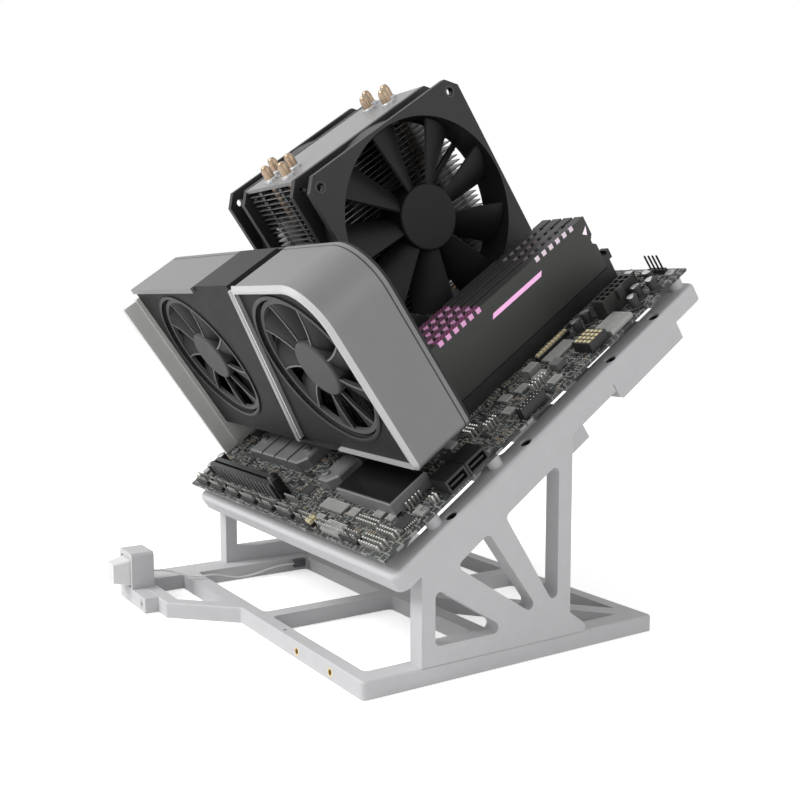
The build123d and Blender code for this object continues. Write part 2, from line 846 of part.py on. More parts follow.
# Drive ports lie flat on the right edge, below the middle screw there
drive_port_length = 14
drive_port_gap = 0.5
with BuildPart(slope) as drive_ports:
    for place in range(2):
        s = board_high - board_hole_rows[1] - 10.7 - place * (drive_port_length + drive_port_gap)
        with Locations((board_right - 7, s, board_top)):
            Box(14, drive_port_length, 8, align=on_top)
        with Locations((board_right, s, board_top + 4)):
            Box(14, drive_port_length - 2.5, 5, mode=Mode.SUBTRACT)
            with Locations((-4, 0, -0.5)):
                Box(6, drive_port_length - 4.5, 1.2)
save(drive_ports, "drive_ports")

# Pin headers along the low edge, beside the memory and at the upper corner; one is a block of square cells
header_cells = 4
with BuildPart(slope) as pin_headers:
    for step in range(9):
        with Locations((board_left + 16 + step * 24, board_low + 5, board_top)):
            Box(18, 5, 2.6, align=on_top)
    with Locations((board_right - 5, board_high - 128.5, board_top)):
        Box(5.2, 18, 6, align=on_top)
    with Locations((board_right - 17, board_high - 4, board_top)):
        Box(12, 2.6, 2.6, align=on_top)
    with Locations((board_right - 10, board_high - 73.5, board_top)):
        Box(14, 14, 6, align=on_top)
        with Locations((0, 0, 6)):
            with GridLocations(3.2, 3.2, header_cells, header_cells):
                Box(2.4, 2.4, 2, align=hang, mode=Mode.SUBTRACT)
save(pin_headers, "pin_headers")

# Chips: width, length, height at places taken from the nearest corner of the board
low_chips = (
    (board_right - 12, 24.5, 9, 9, 1.2),
    (board_right - 28, 70.5, 10, 7, 1.2),
    (board_left + 132, 24.5, 9, 7, 1.2),
    (board_left + 12, 56.5, 11, 11, 1.3),
)
high_chips = (
    (board_right - 32, 43.5, 13, 13, 1.4),
    (board_right - 40, 10, 8, 8, 1.2),
    (board_right - 14, 58, 8, 6, 1.2),
)
blocks(
    "board_chips",
    [(x, board_low + low, width, length, height) for x, low, width, length, height in low_chips]
    + [(x, board_high - top, width, length, height) for x, top, width, length, height in high_chips],
)
with BuildPart(slope) as capacitors:
    with Locations(
        [(board_right - right, board_high - top, board_top) for right, top in ((11, 29), (6, 38.5))]
        + [(board_right - right, board_high - 14.5, board_top) for right in (14, 28)]
        + [(board_left + 16, board_low + 14.5 + step * 9, board_top) for step in range(2)]
        + [(board_left + 148, board_high - 43.5 + step * 9, board_top) for step in range(3)]
    ):
        Cylinder(3, 8, align=on_top)
save(capacitors, "capacitors")

with BuildPart(slope) as coin_cell:
    with Locations((board_left + 146, board_low + 62.5, board_top)):
        Cylinder(10, 5, align=on_top)
save(coin_cell, "coin_cell")

# Graphics card, standing square to the board; its fans face down the slope
card_plane = Plane(slope_point(0, card_front, 0), slope.x_dir, -slope.y_dir)
back_plate = 2
shell_depth = card_depth - back_plate
face_inset = 2.5


with BuildPart() as card_sleeve:
    # Wrap of the right fan: top, end and bottom, the top end corner in a wide round
    with BuildSketch(card_plane):
        for inset, mode in ((0, Mode.ADD), (card_wall, Mode.SUBTRACT)):
            with BuildSketch(card_plane, mode=mode):
                with BuildLine():
                    Polyline(
                        (card_gap_x[1], card_bottom + inset),
                        (card_right - inset, card_bottom + inset),
                        (card_right - inset, card_top - inset),
                        (card_gap_x[1], card_top - inset),
                        close=True,
                    )
                make_face()
                fillet(vertices().group_by(Axis.X)[-1].sort_by(Axis.Y)[-1], card_corner - inset)
                fillet(vertices().group_by(Axis.Y)[0].sort_by(Axis.X)[-1], card_foot - inset)
    extrude(amount=-shell_depth)
    # Front bezel: closes the wrap with a leaning bar on its left
    with BuildSketch(card_plane):
        with BuildLine():
            Polyline(
                (card_left + card_bar_foot, card_bottom),
                (card_right, card_bottom),
                (card_right, card_top),
                (card_gap_x[1] - 4, card_top),
                close=True,
            )
        make_face()
        fillet(vertices().group_by(Axis.X)[-1].sort_by(Axis.Y)[-1], card_corner)
        fillet(vertices().group_by(Axis.Y)[0].sort_by(Axis.X)[-1], card_foot)
        offset(amount=-card_bezel, mode=Mode.SUBTRACT)
    extrude(amount=-face_inset)
    front_rim = faces().sort_by(Axis(card_plane.origin, card_plane.z_dir))[-1].outer_wire()
    chamfer(front_rim.edges(), 2)
save(card_sleeve, "card_sleeve")

# Dark shell of the card: front with both fan openings, walls round the left half
fan_spots = [(x, card_fan_height) for x in card_fan_x]
face_thickness = 2.5
lid_thickness = 1.2
gap_recess = 8
finger_x = socket_x
finger_length = socket_length - 8

with BuildPart() as card_shroud:
    with BuildSketch(card_plane.offset(-face_inset)):
        with BuildLine():
            Polyline(
                (card_left, card_bottom),
                (card_gap_x[1], card_bottom),
                (card_gap_x[1], card_bottom + card_wall),
                (card_right - card_wall, card_bottom + card_wall),
                (card_right - card_wall, card_top - card_wall),
                (card_gap_x[1], card_top - card_wall),
                (card_gap_x[1], card_top - gap_recess),
                (card_gap_x[0], card_top - gap_recess),
                (card_gap_x[0], card_top),
                (card_split_x, card_top),
                (card_split_x, card_top - lid_thickness),
                (card_left, card_top - lid_thickness),
                close=True,
            )
        make_face()
        fillet(vertices().group_by(Axis.X)[-1].sort_by(Axis.Y)[-1], card_corner - card_wall)
        fillet(vertices().group_by(Axis.Y)[1].sort_by(Axis.X)[-1], card_foot - card_wall)
        with Locations(*fan_spots):
            Circle(card_fan_radius + 1.2, mode=Mode.SUBTRACT)
    extrude(amount=-face_thickness)
    with BuildSketch(card_plane.offset(-face_inset - face_thickness)):
        with BuildLine():
            Polyline(
                (card_left, card_bottom),
                (card_gap_x[0], card_bottom),
                (card_gap_x[0], card_bottom + card_wall),
                (card_left + card_wall, card_bottom + card_wall),
                (card_left + card_wall, card_top - card_wall - lid_thickness),
                (card_gap_x[0], card_top - card_wall - lid_thickness),
                (card_gap_x[0], card_top),
                (card_split_x, card_top),
                (card_split_x, card_top - lid_thickness),
                (card_left, card_top - lid_thickness),
                close=True,
            )
        make_face()
    extrude(amount=face_inset + face_thickness - shell_depth)
    # Slot for the card's edge fingers
    with Locations(slope):
        with Locations((finger_x, card_slot_s, card_bottom)):
            Box(finger_length + 2, 5, 3 * card_wall, mode=Mode.SUBTRACT)
save(card_shroud, "card_shroud")

with BuildPart(card_plane) as card_lid:
    lid_length = card_split_x - card_left
    lid_x = (card_split_x + card_left) / 2
    with Locations((lid_x, card_top - lid_thickness / 2, -face_inset)):
        Box(lid_length, lid_thickness, shell_depth - face_inset, align=hang)
    with Locations((lid_x, card_top - 1.6, -face_inset)):
        Box(lid_length, 3.2, 1.7, align=on_top)
save(card_lid, "card_lid")

with BuildPart() as card_back_plate:
    with BuildSketch(card_plane.offset(-shell_depth)):
        with BuildLine():
            Polyline(
                (card_left, card_bottom + 1),
                (card_right - 1, card_bottom + 1),
                (card_right - 1, card_top - 1),
                (card_left, card_top - 1),
                close=True,
            )
        make_face()
        fillet(vertices().group_by(Axis.X)[-1].sort_by(Axis.Y)[-1], card_corner - 1)
        fillet(vertices().group_by(Axis.Y)[0].sort_by(Axis.X)[-1], card_foot - 1)
    extrude(amount=-back_plate)
save(card_back_plate, "card_back_plate")

card_board_front = card_slot_s - board_thickness / 2
card_fin_front = card_front + 16
card_fin_count = 46
card_fin_pitch = 4.5
with BuildPart(slope) as card_fins:
    for place in range(card_fin_count):
        with Locations((card_left + 10 + place * card_fin_pitch, card_fin_front, card_bottom + 5)):
            Box(
                0.8,
                card_board_front - card_fin_front,
                card_top - card_bottom - 14,
                align=(Align.CENTER, Align.MIN, Align.MIN),
            )
save(card_fins, "card_fins")

with BuildPart(slope) as card_board:
    board_end = card_right - 19
    with Locations(((card_left + card_wall + board_end) / 2, card_slot_s, card_bottom + 5)):
        Box(
            board_end - card_left - card_wall,
            board_thickness,
            card_top - card_bottom - 14,
            align=on_top,
        )
    with Locations((finger_x, card_slot_s, board_top + 4)):
        Box(finger_length, board_thickness, card_bottom + 5 - board_top - 4, align=on_top)
save(card_board, "card_board")

rotor_front = face_inset + 0.5
motor_top = card_fin_front - card_front - 2
with BuildPart(card_plane) as card_motors:
    with Locations([(x, n, -motor_top) for x, n in fan_spots]):
        Cylinder(14, 2, align=hang)
        Cylinder(shaft_diameter / 2, motor_top - rotor_front - 3.5, align=on_top)
save(card_motors, "card_motors")

for side, (x, n) in zip(("right", "left"), fan_spots):
    hub_plane = Plane(
        slope_point(x, card_front + rotor_front, n), slope.x_dir, -slope.y_dir
    )
    rotor = build_rotor(
        hub_plane,
        card_fan_hub,
        card_fan_radius - 0.6,
        card_fan_depth,
        (card_root_chord, card_tip_chord, card_blade_sweep),
        card_fan_blades,
        card_fan_ring,
        shaft_diameter + 2 * shaft_gap,
        card_fan_depth - 3,
    )
    save(rotor, f"card_{side}_rotor")

# Steel bracket of the card, and the plate on the tray side that carries it
plate_inner = card_left - 0.9
plate_outer = plate_inner - support_plate
plate_top = card_top - 8
bracket_screw_s = (card_front + 10, card_back - 10)
with BuildPart(slope) as card_bracket:
    with Locations((plate_inner, 0, 0)):
        with Locations((0, (card_front + card_back) / 2, board_top + 2)):
            Box(0.9, card_depth, plate_top - board_top - 2, align=(Align.MIN, Align.CENTER, Align.MIN))
        with Locations((0, (card_front + card_back) / 2, 0)):
            for level in range(6):
                with Locations((0, -10, 52 + level * 13)):
                    Box(4, 14, 6, mode=Mode.SUBTRACT)
    with Locations(((plate_outer + card_left) / 2, (card_front + card_back) / 2, plate_top)):
        Box(card_left - plate_outer, card_depth, 0.9, align=on_top)
    with Locations([((plate_outer + plate_inner) / 2, s, plate_top) for s in bracket_screw_s]):
        Cylinder(1.6, 3, mode=Mode.SUBTRACT)
save(card_bracket, "card_bracket")

with BuildPart(slope) as support_post:
    plate_low = card_front - 10
    plate_length = card_depth + 20
    plate_s = plate_low + plate_length / 2
    with Locations(((plate_inner + plate_outer) / 2, plate_s, 0)):
        Box(support_plate, plate_length, plate_top, align=on_top)
    with Locations(((plate_inner - half_width) / 2, plate_s, 0)):
        Box(-half_width - plate_inner, plate_length, tray_thickness, align=on_top)
    with Locations([((plate_outer + plate_inner) / 2, s, plate_top) for s in bracket_screw_s]):
        Hole(1.5, depth=9)
save(support_post, "support_post")

with BuildPart(slope) as bracket_screws:
    with Locations([((plate_outer + plate_inner) / 2, s, plate_top + 0.9) for s in bracket_screw_s]):
        Cylinder(2.2, 2.2, align=on_top)
        Cylinder(1.4, 8, align=hang)
save(bracket_screws, "bracket_screws")

# Holder of the power key: a foot hooked on the arm's front, a box with a pocket for the cap
holder_left = key_x - holder_width / 2
holder_back_y = holder_front_y + holder_depth
pocket_floor_y = holder_front_y + key_pocket_depth
plate_back_y = pocket_floor_y + 1.5
back_wall = 1.5
lead_exit = (key_x + 7.5, holder_back_y, 18.3)


def facing_front(y):
    return Plane(origin=(key_x, y, key_height), x_dir=(1, 0, 0), z_dir=(0, -1, 0))


with BuildPart() as key_holder:
    with Locations(((holder_left + holder_foot_right) / 2, (holder_front_y + arm_front_y) / 2, 0)):
        Box(holder_foot_right - holder_left, arm_front_y - holder_front_y, base_height, align=on_top)
    with Locations((key_x, (holder_front_y + holder_back_y) / 2, base_height)):
        Box(holder_width, holder_depth, holder_top - base_height, align=on_top)
    chamfer(edges().filter_by(Axis.Y).group_by(Axis.Z)[-1], 1.5)
    with BuildSketch(facing_front(holder_front_y)):
        Rectangle(key_pocket, key_pocket)
    extrude(amount=-key_pocket_depth, mode=Mode.SUBTRACT)
    with BuildSketch(facing_front(pocket_floor_y)):
        Rectangle(switch_side, switch_side)
    extrude(amount=-1.5, mode=Mode.SUBTRACT)
    with BuildSketch(facing_front(plate_back_y)):
        Rectangle(switch_side + 2, switch_side + 2)
    extrude(amount=plate_back_y + back_wall - holder_back_y, mode=Mode.SUBTRACT)
    with Locations(lead_exit):
        Cylinder(lead_diameter / 2 + 0.3, 4 * back_wall, rotation=(90, 0, 0), mode=Mode.SUBTRACT)
    # Seat of the screw that ties the foot to the arm
    with Locations((holder_foot_right - 6, holder_front_y, base_height / 2)):
        Cylinder(1.6, 20, rotation=(90, 0, 0), mode=Mode.SUBTRACT)
        Cylinder(2.8, 4, rotation=(90, 0, 0), mode=Mode.SUBTRACT)
save(key_holder, "key_holder")

holder_screw_plane = Plane(origin=(holder_foot_right - 6, holder_front_y, base_height / 2), z_dir=(0, 1, 0))
with BuildPart() as holder_screw:
    with BuildSketch(holder_screw_plane.offset(2)):
        Circle(1.4)
    extrude(amount=arm_front_y - holder_front_y + 3)
    with BuildSketch(holder_screw_plane):
        Circle(2.6)
    extrude(amount=2)
save(holder_screw, "holder_screw")

# Key switch: a flange on the pocket floor, the body behind it and a collar round the stem
collar_height = 2.5
flange_height = 1
stem_hole = 7
stem_side = 6
body_depth = 5
cap_base_y = pocket_floor_y - flange_height - key_travel - 0.2
cap_top_y = cap_base_y - key_cap_depth
stem_front_y = cap_base_y - 1.5
with BuildPart() as key_switch:
    with BuildSketch(facing_front(pocket_floor_y)):
        Rectangle(switch_side + 1.6, switch_side + 1.6)
    extrude(amount=flange_height)
    with BuildSketch(facing_front(pocket_floor_y)):
        Rectangle(switch_side, switch_side)
    extrude(amount=-body_depth)
    with BuildSketch(facing_front(pocket_floor_y - flange_height)):
        Rectangle(switch_side - 3, switch_side - 3)
    extrude(amount=collar_height)
    with BuildSketch(facing_front(pocket_floor_y - flange_height - collar_height)):
        Rectangle(stem_hole, stem_hole)
    extrude(amount=-(collar_height + flange_height + body_depth - 1), mode=Mode.SUBTRACT)
save(key_switch, "key_switch")

with BuildPart() as key_stem:
    with BuildSketch(facing_front(stem_front_y)):
        Rectangle(stem_side, stem_side)
    extrude(amount=-5)
save(key_stem, "key_stem")

with BuildPart() as key_cap:
    for inset, mode in ((0, Mode.ADD), (key_cap_wall, Mode.SUBTRACT)):
        with BuildSketch(facing_front(cap_base_y)):
            RectangleRounded(key_cap_base - 2 * inset, key_cap_base - 2 * inset, 1.6 - inset / 2)
        with BuildSketch(facing_front(cap_top_y + inset)):
            RectangleRounded(key_cap_top - 2 * inset, key_cap_top - 2 * inset, 1.6 - inset / 2)
        loft(mode=mode)
    with BuildSketch(facing_front(stem_front_y)):
        Rectangle(stem_side, stem_side)
    extrude(amount=stem_front_y - cap_top_y - key_cap_wall)
save(key_cap, "key_cap")

# Power lead: from the holder's back over the arm into the left bay, where its end leans on the rail
lead_points = [
    (lead_exit[0], holder_back_y - back_wall, lead_exit[2]),
    (-89.6, -115, 17.4),
    (-90.6, -106.5, 15),
    (-87.8, -98.5, 13.2),
    (-84.4, -90.5, 13.2),
    (-85.2, -81.5, 12.2),
    (-89.5, -71.5, 8),
    (-94.6, -61, 4),
    (-97, -50, 3.2),
    (-97.6, -39.5, 4.8),
    (-97.6, -29, 6.2),
    (-97.5, -19, 6),
]


def bend_radius(before, corner, after):
    run_in = Vector(corner) - Vector(before)
    run_out = Vector(after) - Vector(corner)
    turn = radians(run_in.get_angle(run_out))
    return 0.45 * min(run_in.length, run_out.length) / tan(turn / 2)


lead_radii = [bend_radius(*lead_points[spot : spot + 3]) for spot in range(len(lead_points) - 2)]
print("lead bend radii", [round(radius, 1) for radius in lead_radii])
with BuildPart() as power_lead:
    with BuildLine() as route:
        FilletPolyline(*lead_points, radius=lead_radii)
    with BuildSketch(Plane(lead_points[0], z_dir=Vector(lead_points[1]) - Vector(lead_points[0]))):
        Circle(lead_diameter / 2)
    sweep(path=route.wires()[0])
print("lead length", round(route.wires()[0].length, 1), "volume", round(power_lead.part.volume, 1))
save(power_lead, "power_lead")

plug_axis = Vector(lead_points[-1]) - Vector(lead_points[-2])
with BuildPart() as lead_plug:
    with BuildSketch(Plane(lead_points[-1], x_dir=(1, 0, 0), z_dir=plug_axis)):
        Rectangle(2.6, 5.2)
    extrude(amount=8)
save(lead_plug, "lead_plug")
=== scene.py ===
import json
import math
import random

import bmesh
import bpy
from mathutils import Matrix, Vector


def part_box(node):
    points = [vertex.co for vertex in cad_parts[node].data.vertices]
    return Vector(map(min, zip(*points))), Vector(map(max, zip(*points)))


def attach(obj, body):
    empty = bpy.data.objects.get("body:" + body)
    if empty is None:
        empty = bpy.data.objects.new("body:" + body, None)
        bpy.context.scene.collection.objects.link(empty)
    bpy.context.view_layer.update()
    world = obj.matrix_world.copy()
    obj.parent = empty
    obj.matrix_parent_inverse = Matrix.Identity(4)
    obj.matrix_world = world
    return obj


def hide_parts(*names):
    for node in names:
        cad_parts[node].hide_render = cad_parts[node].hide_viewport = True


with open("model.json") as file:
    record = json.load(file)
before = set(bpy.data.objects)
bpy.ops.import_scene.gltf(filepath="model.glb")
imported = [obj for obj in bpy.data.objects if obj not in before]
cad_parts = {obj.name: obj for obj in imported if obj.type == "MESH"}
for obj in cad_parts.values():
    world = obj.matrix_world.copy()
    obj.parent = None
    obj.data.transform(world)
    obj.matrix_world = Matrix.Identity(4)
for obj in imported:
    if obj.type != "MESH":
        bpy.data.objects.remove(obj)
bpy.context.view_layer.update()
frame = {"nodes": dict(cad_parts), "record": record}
nodes = frame["nodes"]
print("frame loaded,", len(nodes), "nodes")

# the tray's slope: x across, y up the slope, z square to it
slope = {"tiltDeg": 35, "start": (0, -0.062, 0.0545)}
toWorld = Matrix.Translation(slope["start"]) @ Matrix.Rotation(math.radians(slope["tiltDeg"]), 4, "X")
toSlope = toWorld.inverted()
flat = Matrix.Identity(4)
mm = 0.001
toMm = 1000

# camera at the photo's place, lens for a square picture
view = {"eye": (0.518, -0.3287, 0.1869), "look": (-0.8367, 0.5386, -0.0990), "lens": 45.86, "nearest": 0.01}
cameraData = bpy.data.cameras.new("photoCamera")
cameraData.lens = view["lens"]
cameraData.clip_start = view["nearest"]
camera = bpy.data.objects.new("photoCamera", cameraData)
bpy.context.scene.collection.objects.link(camera)
camera.location = view["eye"]
camera.rotation_euler = Vector(view["look"]).to_track_quat("-Z", "Y").to_euler()
bpy.context.scene.camera = camera
bpy.context.scene.view_settings.view_transform = "Standard"


def linear(hexCode):
    channels = [int(hexCode[i:i + 2], 16) / 255 for i in (1, 3, 5)]
    return tuple(c / 12.92 if c <= 0.04045 else ((c + 0.055) / 1.055) ** 2.4 for c in channels) + (1,)


# links a socket, or sets a constant on it; a text is a colour
def feed(node, inputs):
    for name, value in inputs.items():
        if isinstance(value, bpy.types.NodeSocket):
            node.id_data.links.new(value, node.inputs[name])
        else:
            node.inputs[name].default_value = linear(value) if isinstance(value, str) else value


def addNode(tree, kind, inputs=None, **settings):
    node = tree.nodes.new(kind)
    for name, value in settings.items():
        setattr(node, name, value)
    feed(node, inputs or {})
    return node


# outputs of a node in the tree of the sockets that feed it
def derive(kind, inputs, **settings):
    tree = next(value.id_data for value in inputs.values() if isinstance(value, bpy.types.NodeSocket))
    return addNode(tree, kind, inputs, **settings).outputs


def compute(operation, *values):
    return derive("ShaderNodeMath", dict(enumerate(values)), operation=operation)[0]


def mixColours(factor, low, high):
    return derive("ShaderNodeMix", {0: factor, 6: low, 7: high}, data_type="RGBA")[2]


def mixValues(factor, low, high):
    return derive("ShaderNodeMix", {0: factor, 2: low, 3: high})[0]


# size of the pattern in mm
def noise(point, size, detail=2.0):
    return derive("ShaderNodeTexNoise", {"Vector": point, "Scale": 1 / size, "Detail": detail})[0]


def mosaic(point, size, **settings):
    return derive("ShaderNodeTexVoronoi", {"Vector": point, "Scale": 1 / size}, **settings)


def spread(value, low, high, fromLow=0.0, fromHigh=1.0):
    return derive("ShaderNodeMapRange", {0: value, 1: fromLow, 2: fromHigh, 3: low, 4: high})[0]


def bumps(height, strength, depth=0.0002):
    return derive("ShaderNodeBump", {"Strength": strength, "Distance": depth, "Height": height})[0]


def splitPoint(point):
    return derive("ShaderNodeSeparateXYZ", {0: point})


def startMaterial(name):
    material = bpy.data.materials.new(name)
    material.use_nodes = True
    tree = material.node_tree
    tree.nodes.clear()
    # the same axes as the slope, in millimetres
    onSlope = addNode(tree, "ShaderNodeMapping", {
        "Vector": addNode(tree, "ShaderNodeTexCoord").outputs["Object"],
        "Location": toSlope @ Vector((0, 0, 0)) * toMm,
        "Rotation": (math.radians(-slope["tiltDeg"]), 0, 0),
        "Scale": (toMm, toMm, toMm),
    })
    shader = addNode(tree, "ShaderNodeBsdfPrincipled")
    addNode(tree, "ShaderNodeOutputMaterial", {"Surface": shader.outputs[0]})
    return material, onSlope.outputs[0], shader


# tone: size of the slow change of colour in mm; grain: size of the surface texture in mm
def makeFinish(name, low, high, tone, grain, bump, rough, metallic=0.0, stretch=(1, 1, 1), specular=0.5):
    material, point, shader = startMaterial(name)
    stretched = derive("ShaderNodeMapping", {"Vector": point, "Scale": stretch})[0]
    slow = noise(stretched, tone, 3.0)
    feed(shader, {
        "Base Color": mixColours(slow, low, high),
        "Roughness": spread(slow, *rough),
        "Normal": bumps(noise(stretched, grain), bump),
        "Metallic": metallic,
        "Specular IOR Level": specular,
    })
    return material


finishes = {
    # printed plastic: matt, faint mottling from the hot nozzle
    "white_print": makeFinish(
        "printedPlastic", "#c2c1c3", "#cccbcd", 9, 0.7, 0.12, (0.55, 0.7), specular=0.3
    ),
    # moulded key plastic, a little finer than the stand
    "key_white": makeFinish("keyPlastic", "#d6d6d5", "#dededd", 6, 0.4, 0.06, (0.45, 0.55)),
    # black moulded switch housing
    "switch_dark": makeFinish("switchPlastic", "#1b1b1d", "#242427", 4, 0.4, 0.08, (0.4, 0.55)),
    # soft white insulation of the lead
    "lead_white": makeFinish("leadInsulation", "#e2e1de", "#ecebe8", 5, 0.5, 0.05, (0.4, 0.5)),
    # glass filled nylon of sockets: black, slightly grained
    "black_nylon": makeFinish("socketNylon", "#151516", "#1f1f20", 3, 0.35, 0.12, (0.4, 0.6)),
    # nylon of the power socket, in a dark tone
    "ivory_nylon": makeFinish("plugNylon", "#1c1c1b", "#262624", 3, 0.35, 0.12, (0.4, 0.6)),
    # turned brass: pale yellow metal with fine turning marks
    "brass": makeFinish("turnedBrass", "#cdb67a", "#dfcb97", 2, 0.2, 0.1, (0.25, 0.38), 0.7),
    # black oxide steel of socket screws
    "dark_steel": makeFinish("blackOxideSteel", "#1a1a1c", "#29292b", 2, 0.3, 0.1, (0.35, 0.5), 0.7),
    # zinc plated steel: bright, slightly cloudy
    "bright_steel": makeFinish("zincPlate", "#9b9b9c", "#b9b9ba", 5, 0.3, 0.05, (0.28, 0.42), 0.9),
    # nickel plated copper lid of the processor
    "plated_copper": makeFinish("nickelPlate", "#a9a9aa", "#bdbdbe", 4, 0.3, 0.04, (0.25, 0.35), 1.0),
    # bare aluminium cans and plates
    "bare_aluminium": makeFinish("bareAluminium", "#b4b4b6", "#cbcbcd", 3, 0.3, 0.06, (0.3, 0.42), 0.9),
    # polished copper heat pipe with a light tarnish
    "copper": makeFinish("heatPipeCopper", "#94806b", "#ad9983", 6, 0.4, 0.04, (0.26, 0.38), 0.9),
    # blackened fin sheet: thin rolled aluminium, a streaky dark coat
    "dark_fin": makeFinish(
        "blackenedFin", "#6a6a6c", "#8e8e91", 8, 0.5, 0.05, (0.3, 0.45), 0.6, (0.2, 0.2, 4)
    ),
    # satin grey paint on plate
    "grey_plate": makeFinish("satinGreyPaint", "#7f7f80", "#939394", 14, 0.4, 0.06, (0.4, 0.52), 0.3),
    # moulded fan plastic: black with a soft sheen
    "fan_black": makeFinish("fanPlastic", "#1d1d1e", "#252526", 7, 0.4, 0.07, (0.42, 0.55), specular=0.4),
    # anodised dark heat spreader, brushed along its length
    "charcoal_metal": makeFinish(
        "anodisedCharcoal", "#3a3c39", "#424441", 12, 0.4, 0.05, (0.42, 0.52), 0.35, (1, 0.08, 1)
    ),
    # pressed steel shield of the sockets
    "slot_grey": makeFinish("socketShield", "#232324", "#3a3a3b", 3, 0.4, 0.1, (0.35, 0.5), 0.4),
    # moulded epoxy of chips
    "chip_black": makeFinish("chipEpoxy", "#1d1d1e", "#29292a", 2, 0.25, 0.15, (0.5, 0.65)),
}
# tinned steel of pins and part ends
tin = makeFinish("tinnedEnd", "#b7b7b3", "#d3d3cf", 1.5, 0.3, 0.05, (0.3, 0.4), 0.8)
# fired ceramic of small capacitors
ceramic = makeFinish("capacitorCeramic", "#7a6a56", "#95846c", 1.5, 0.3, 0.1, (0.5, 0.6))
# contacts with a thin flash of gold
goldPin = makeFinish("goldFlashedPin", "#b3a272", "#c9bb8e", 1.5, 0.3, 0.05, (0.3, 0.4), 0.6)
# pressed ferrite of coils
ferrite = makeFinish("coilFerrite", "#5a5a5a", "#6d6d6c", 2, 0.3, 0.15, (0.5, 0.65), 0.2)
# unfilled nylon of contact carriers: warm and pale
cellNylon = makeFinish("contactNylon", "#b9ad84", "#cdc39f", 2, 0.3, 0.06, (0.45, 0.55))
# pressed nickel silver: dull pale sheet
paleShield = makeFinish("pressedNickelSilver", "#8d8e8c", "#a9aaa7", 3, 0.3, 0.08, (0.4, 0.5), 0.5)
# polished black latch plastic
glossBlack = makeFinish("polishedNylon", "#141415", "#1c1c1d", 3, 0.4, 0.03, (0.18, 0.26))
# fin edges where the coat is thin
finTab = makeFinish("foldedFinEdge", "#4c4c4e", "#68686a", 3, 0.4, 0.06, (0.35, 0.45), 0.6)
# worn moulding edge of the fan frames
fanRim = makeFinish("mouldedRim", "#3a3a3c", "#4a4a4c", 3, 0.4, 0.06, (0.4, 0.5))
# pale satin zinc of the card's bracket, made paler still as painted light where its side faces away from the
# lamps
bracketZinc = makeFinish("satinZinc", "#cfcfcb", "#dcdcd7", 8, 0.4, 0.05, (0.4, 0.5), 0.2)
# blades of the cooler's fans: the same moulding as the frames, unpolished
bladeBlack = makeFinish("bladePlastic", "#111112", "#171718", 7, 0.4, 0.07, (0.5, 0.62), specular=0.25)
# mid grey nylon of the lead's plug
plugGrey = makeFinish("plugHousing", "#454548", "#525255", 3, 0.35, 0.1, (0.45, 0.6))
# plastic of the support post: smoother than the rest of the stand, and paler as painted light where it stands
# in the card's shade
paleLitPrint = makeFinish("paintedLightPlastic", "#d2d2d0", "#dadad8", 9, 0.7, 0.06, (0.5, 0.6), specular=0.3)
# moulded ribs of the slots, worn pale
ribGrey = makeFinish("ribNylon", "#7c7d7d", "#969796", 3, 0.4, 0.1, (0.4, 0.5), 0.3)
# cut aluminium of the card's trim
trimSilver = makeFinish("cutAluminium", "#989898", "#a3a3a3", 10, 0.4, 0.04, (0.4, 0.5), 0.3)
# pale front edge of a moulded blade: a painted highlight
bladeHighlight = makeFinish("bladeHighlightPlastic", "#5c5c5e", "#68686a", 4, 0.4, 0.04, (0.4, 0.5))
# blasted grey coat of the drive covers
coverGrey = makeFinish("blastedGreyCoat", "#69696a", "#777778", 6, 0.4, 0.1, (0.45, 0.55), 0.3)
print("plain finishes made")

# the card's wrap, slope mm: joint line, cut front edge from some x on, dark foot of the slanted bar
wrap = {"joint": 66.4, "jointHalf": 0.45, "edge": 33.2, "edgeFrom": -20.0, "footTop": 41.5, "footEnd": 38.0}


def makeCardSilver():
    # bead blasted aluminium: even satin silver, brighter where it is cut
    material, point, shader = startMaterial("blastedAluminium")
    x, s, n = splitPoint(point)
    slow = noise(point, 25)
    silver = mixColours(slow, "#777777", "#808080")
    lined = mixColours(compute("COMPARE", s, wrap["joint"], wrap["jointHalf"]), silver, "#3c3c3d")
    cut = compute("LESS_THAN", s, wrap["edge"])
    bright = compute("MULTIPLY", cut, compute("GREATER_THAN", x, wrap["edgeFrom"]))
    edged = mixColours(bright, lined, "#bcbcbc")
    low = compute("LESS_THAN", n, wrap["footTop"])
    foot = compute("MULTIPLY", low, compute("LESS_THAN", x, wrap["footEnd"]))
    feed(shader, {
        "Base Color": mixColours(foot, edged, "#2b2b2c"),
        "Roughness": spread(slow, 0.42, 0.52),
        "Normal": bumps(noise(point, 0.35), 0.06),
        "Metallic": 0.4,
    })
    return material


louvre = {"pitch": 2, "front": 34.2, "depth": 0.0006}


def makeCardDark():
    # matt dark shell; its front is ribbed with fine upright louvres, with painted shade near black in the
    # gaps between them
    material, point, shader = startMaterial("louvredShell")
    x, s = splitPoint(point)[:2]
    rib = compute("PINGPONG", compute("MULTIPLY", x, 1 / louvre["pitch"]), 0.5)
    front = compute("LESS_THAN", s, louvre["front"])
    ribbed = compute("MULTIPLY", spread(rib, 0.0, 1.0, 0.15, 0.4), front)
    slow = noise(point, 18)
    shell = mixColours(slow, "#323233", "#373738")
    # near black in the louvre gaps is painted shade; the raised louvres stay dark grey
    face = mixColours(ribbed, "#0a0a0b", "#2c2c2d")
    feed(shader, {
        "Base Color": mixColours(front, shell, face),
        "Roughness": spread(slow, 0.55, 0.65),
        "Normal": bumps(ribbed, 0.5, louvre["depth"]),
        "Specular IOR Level": 0.2,
    })
    return material


# the card's fan axes lie at one height, each side of a middle
rotor = {"middle": -1.25, "apart": 68.75, "height": 94.5, "hub": 16.55, "ring": 39.4}


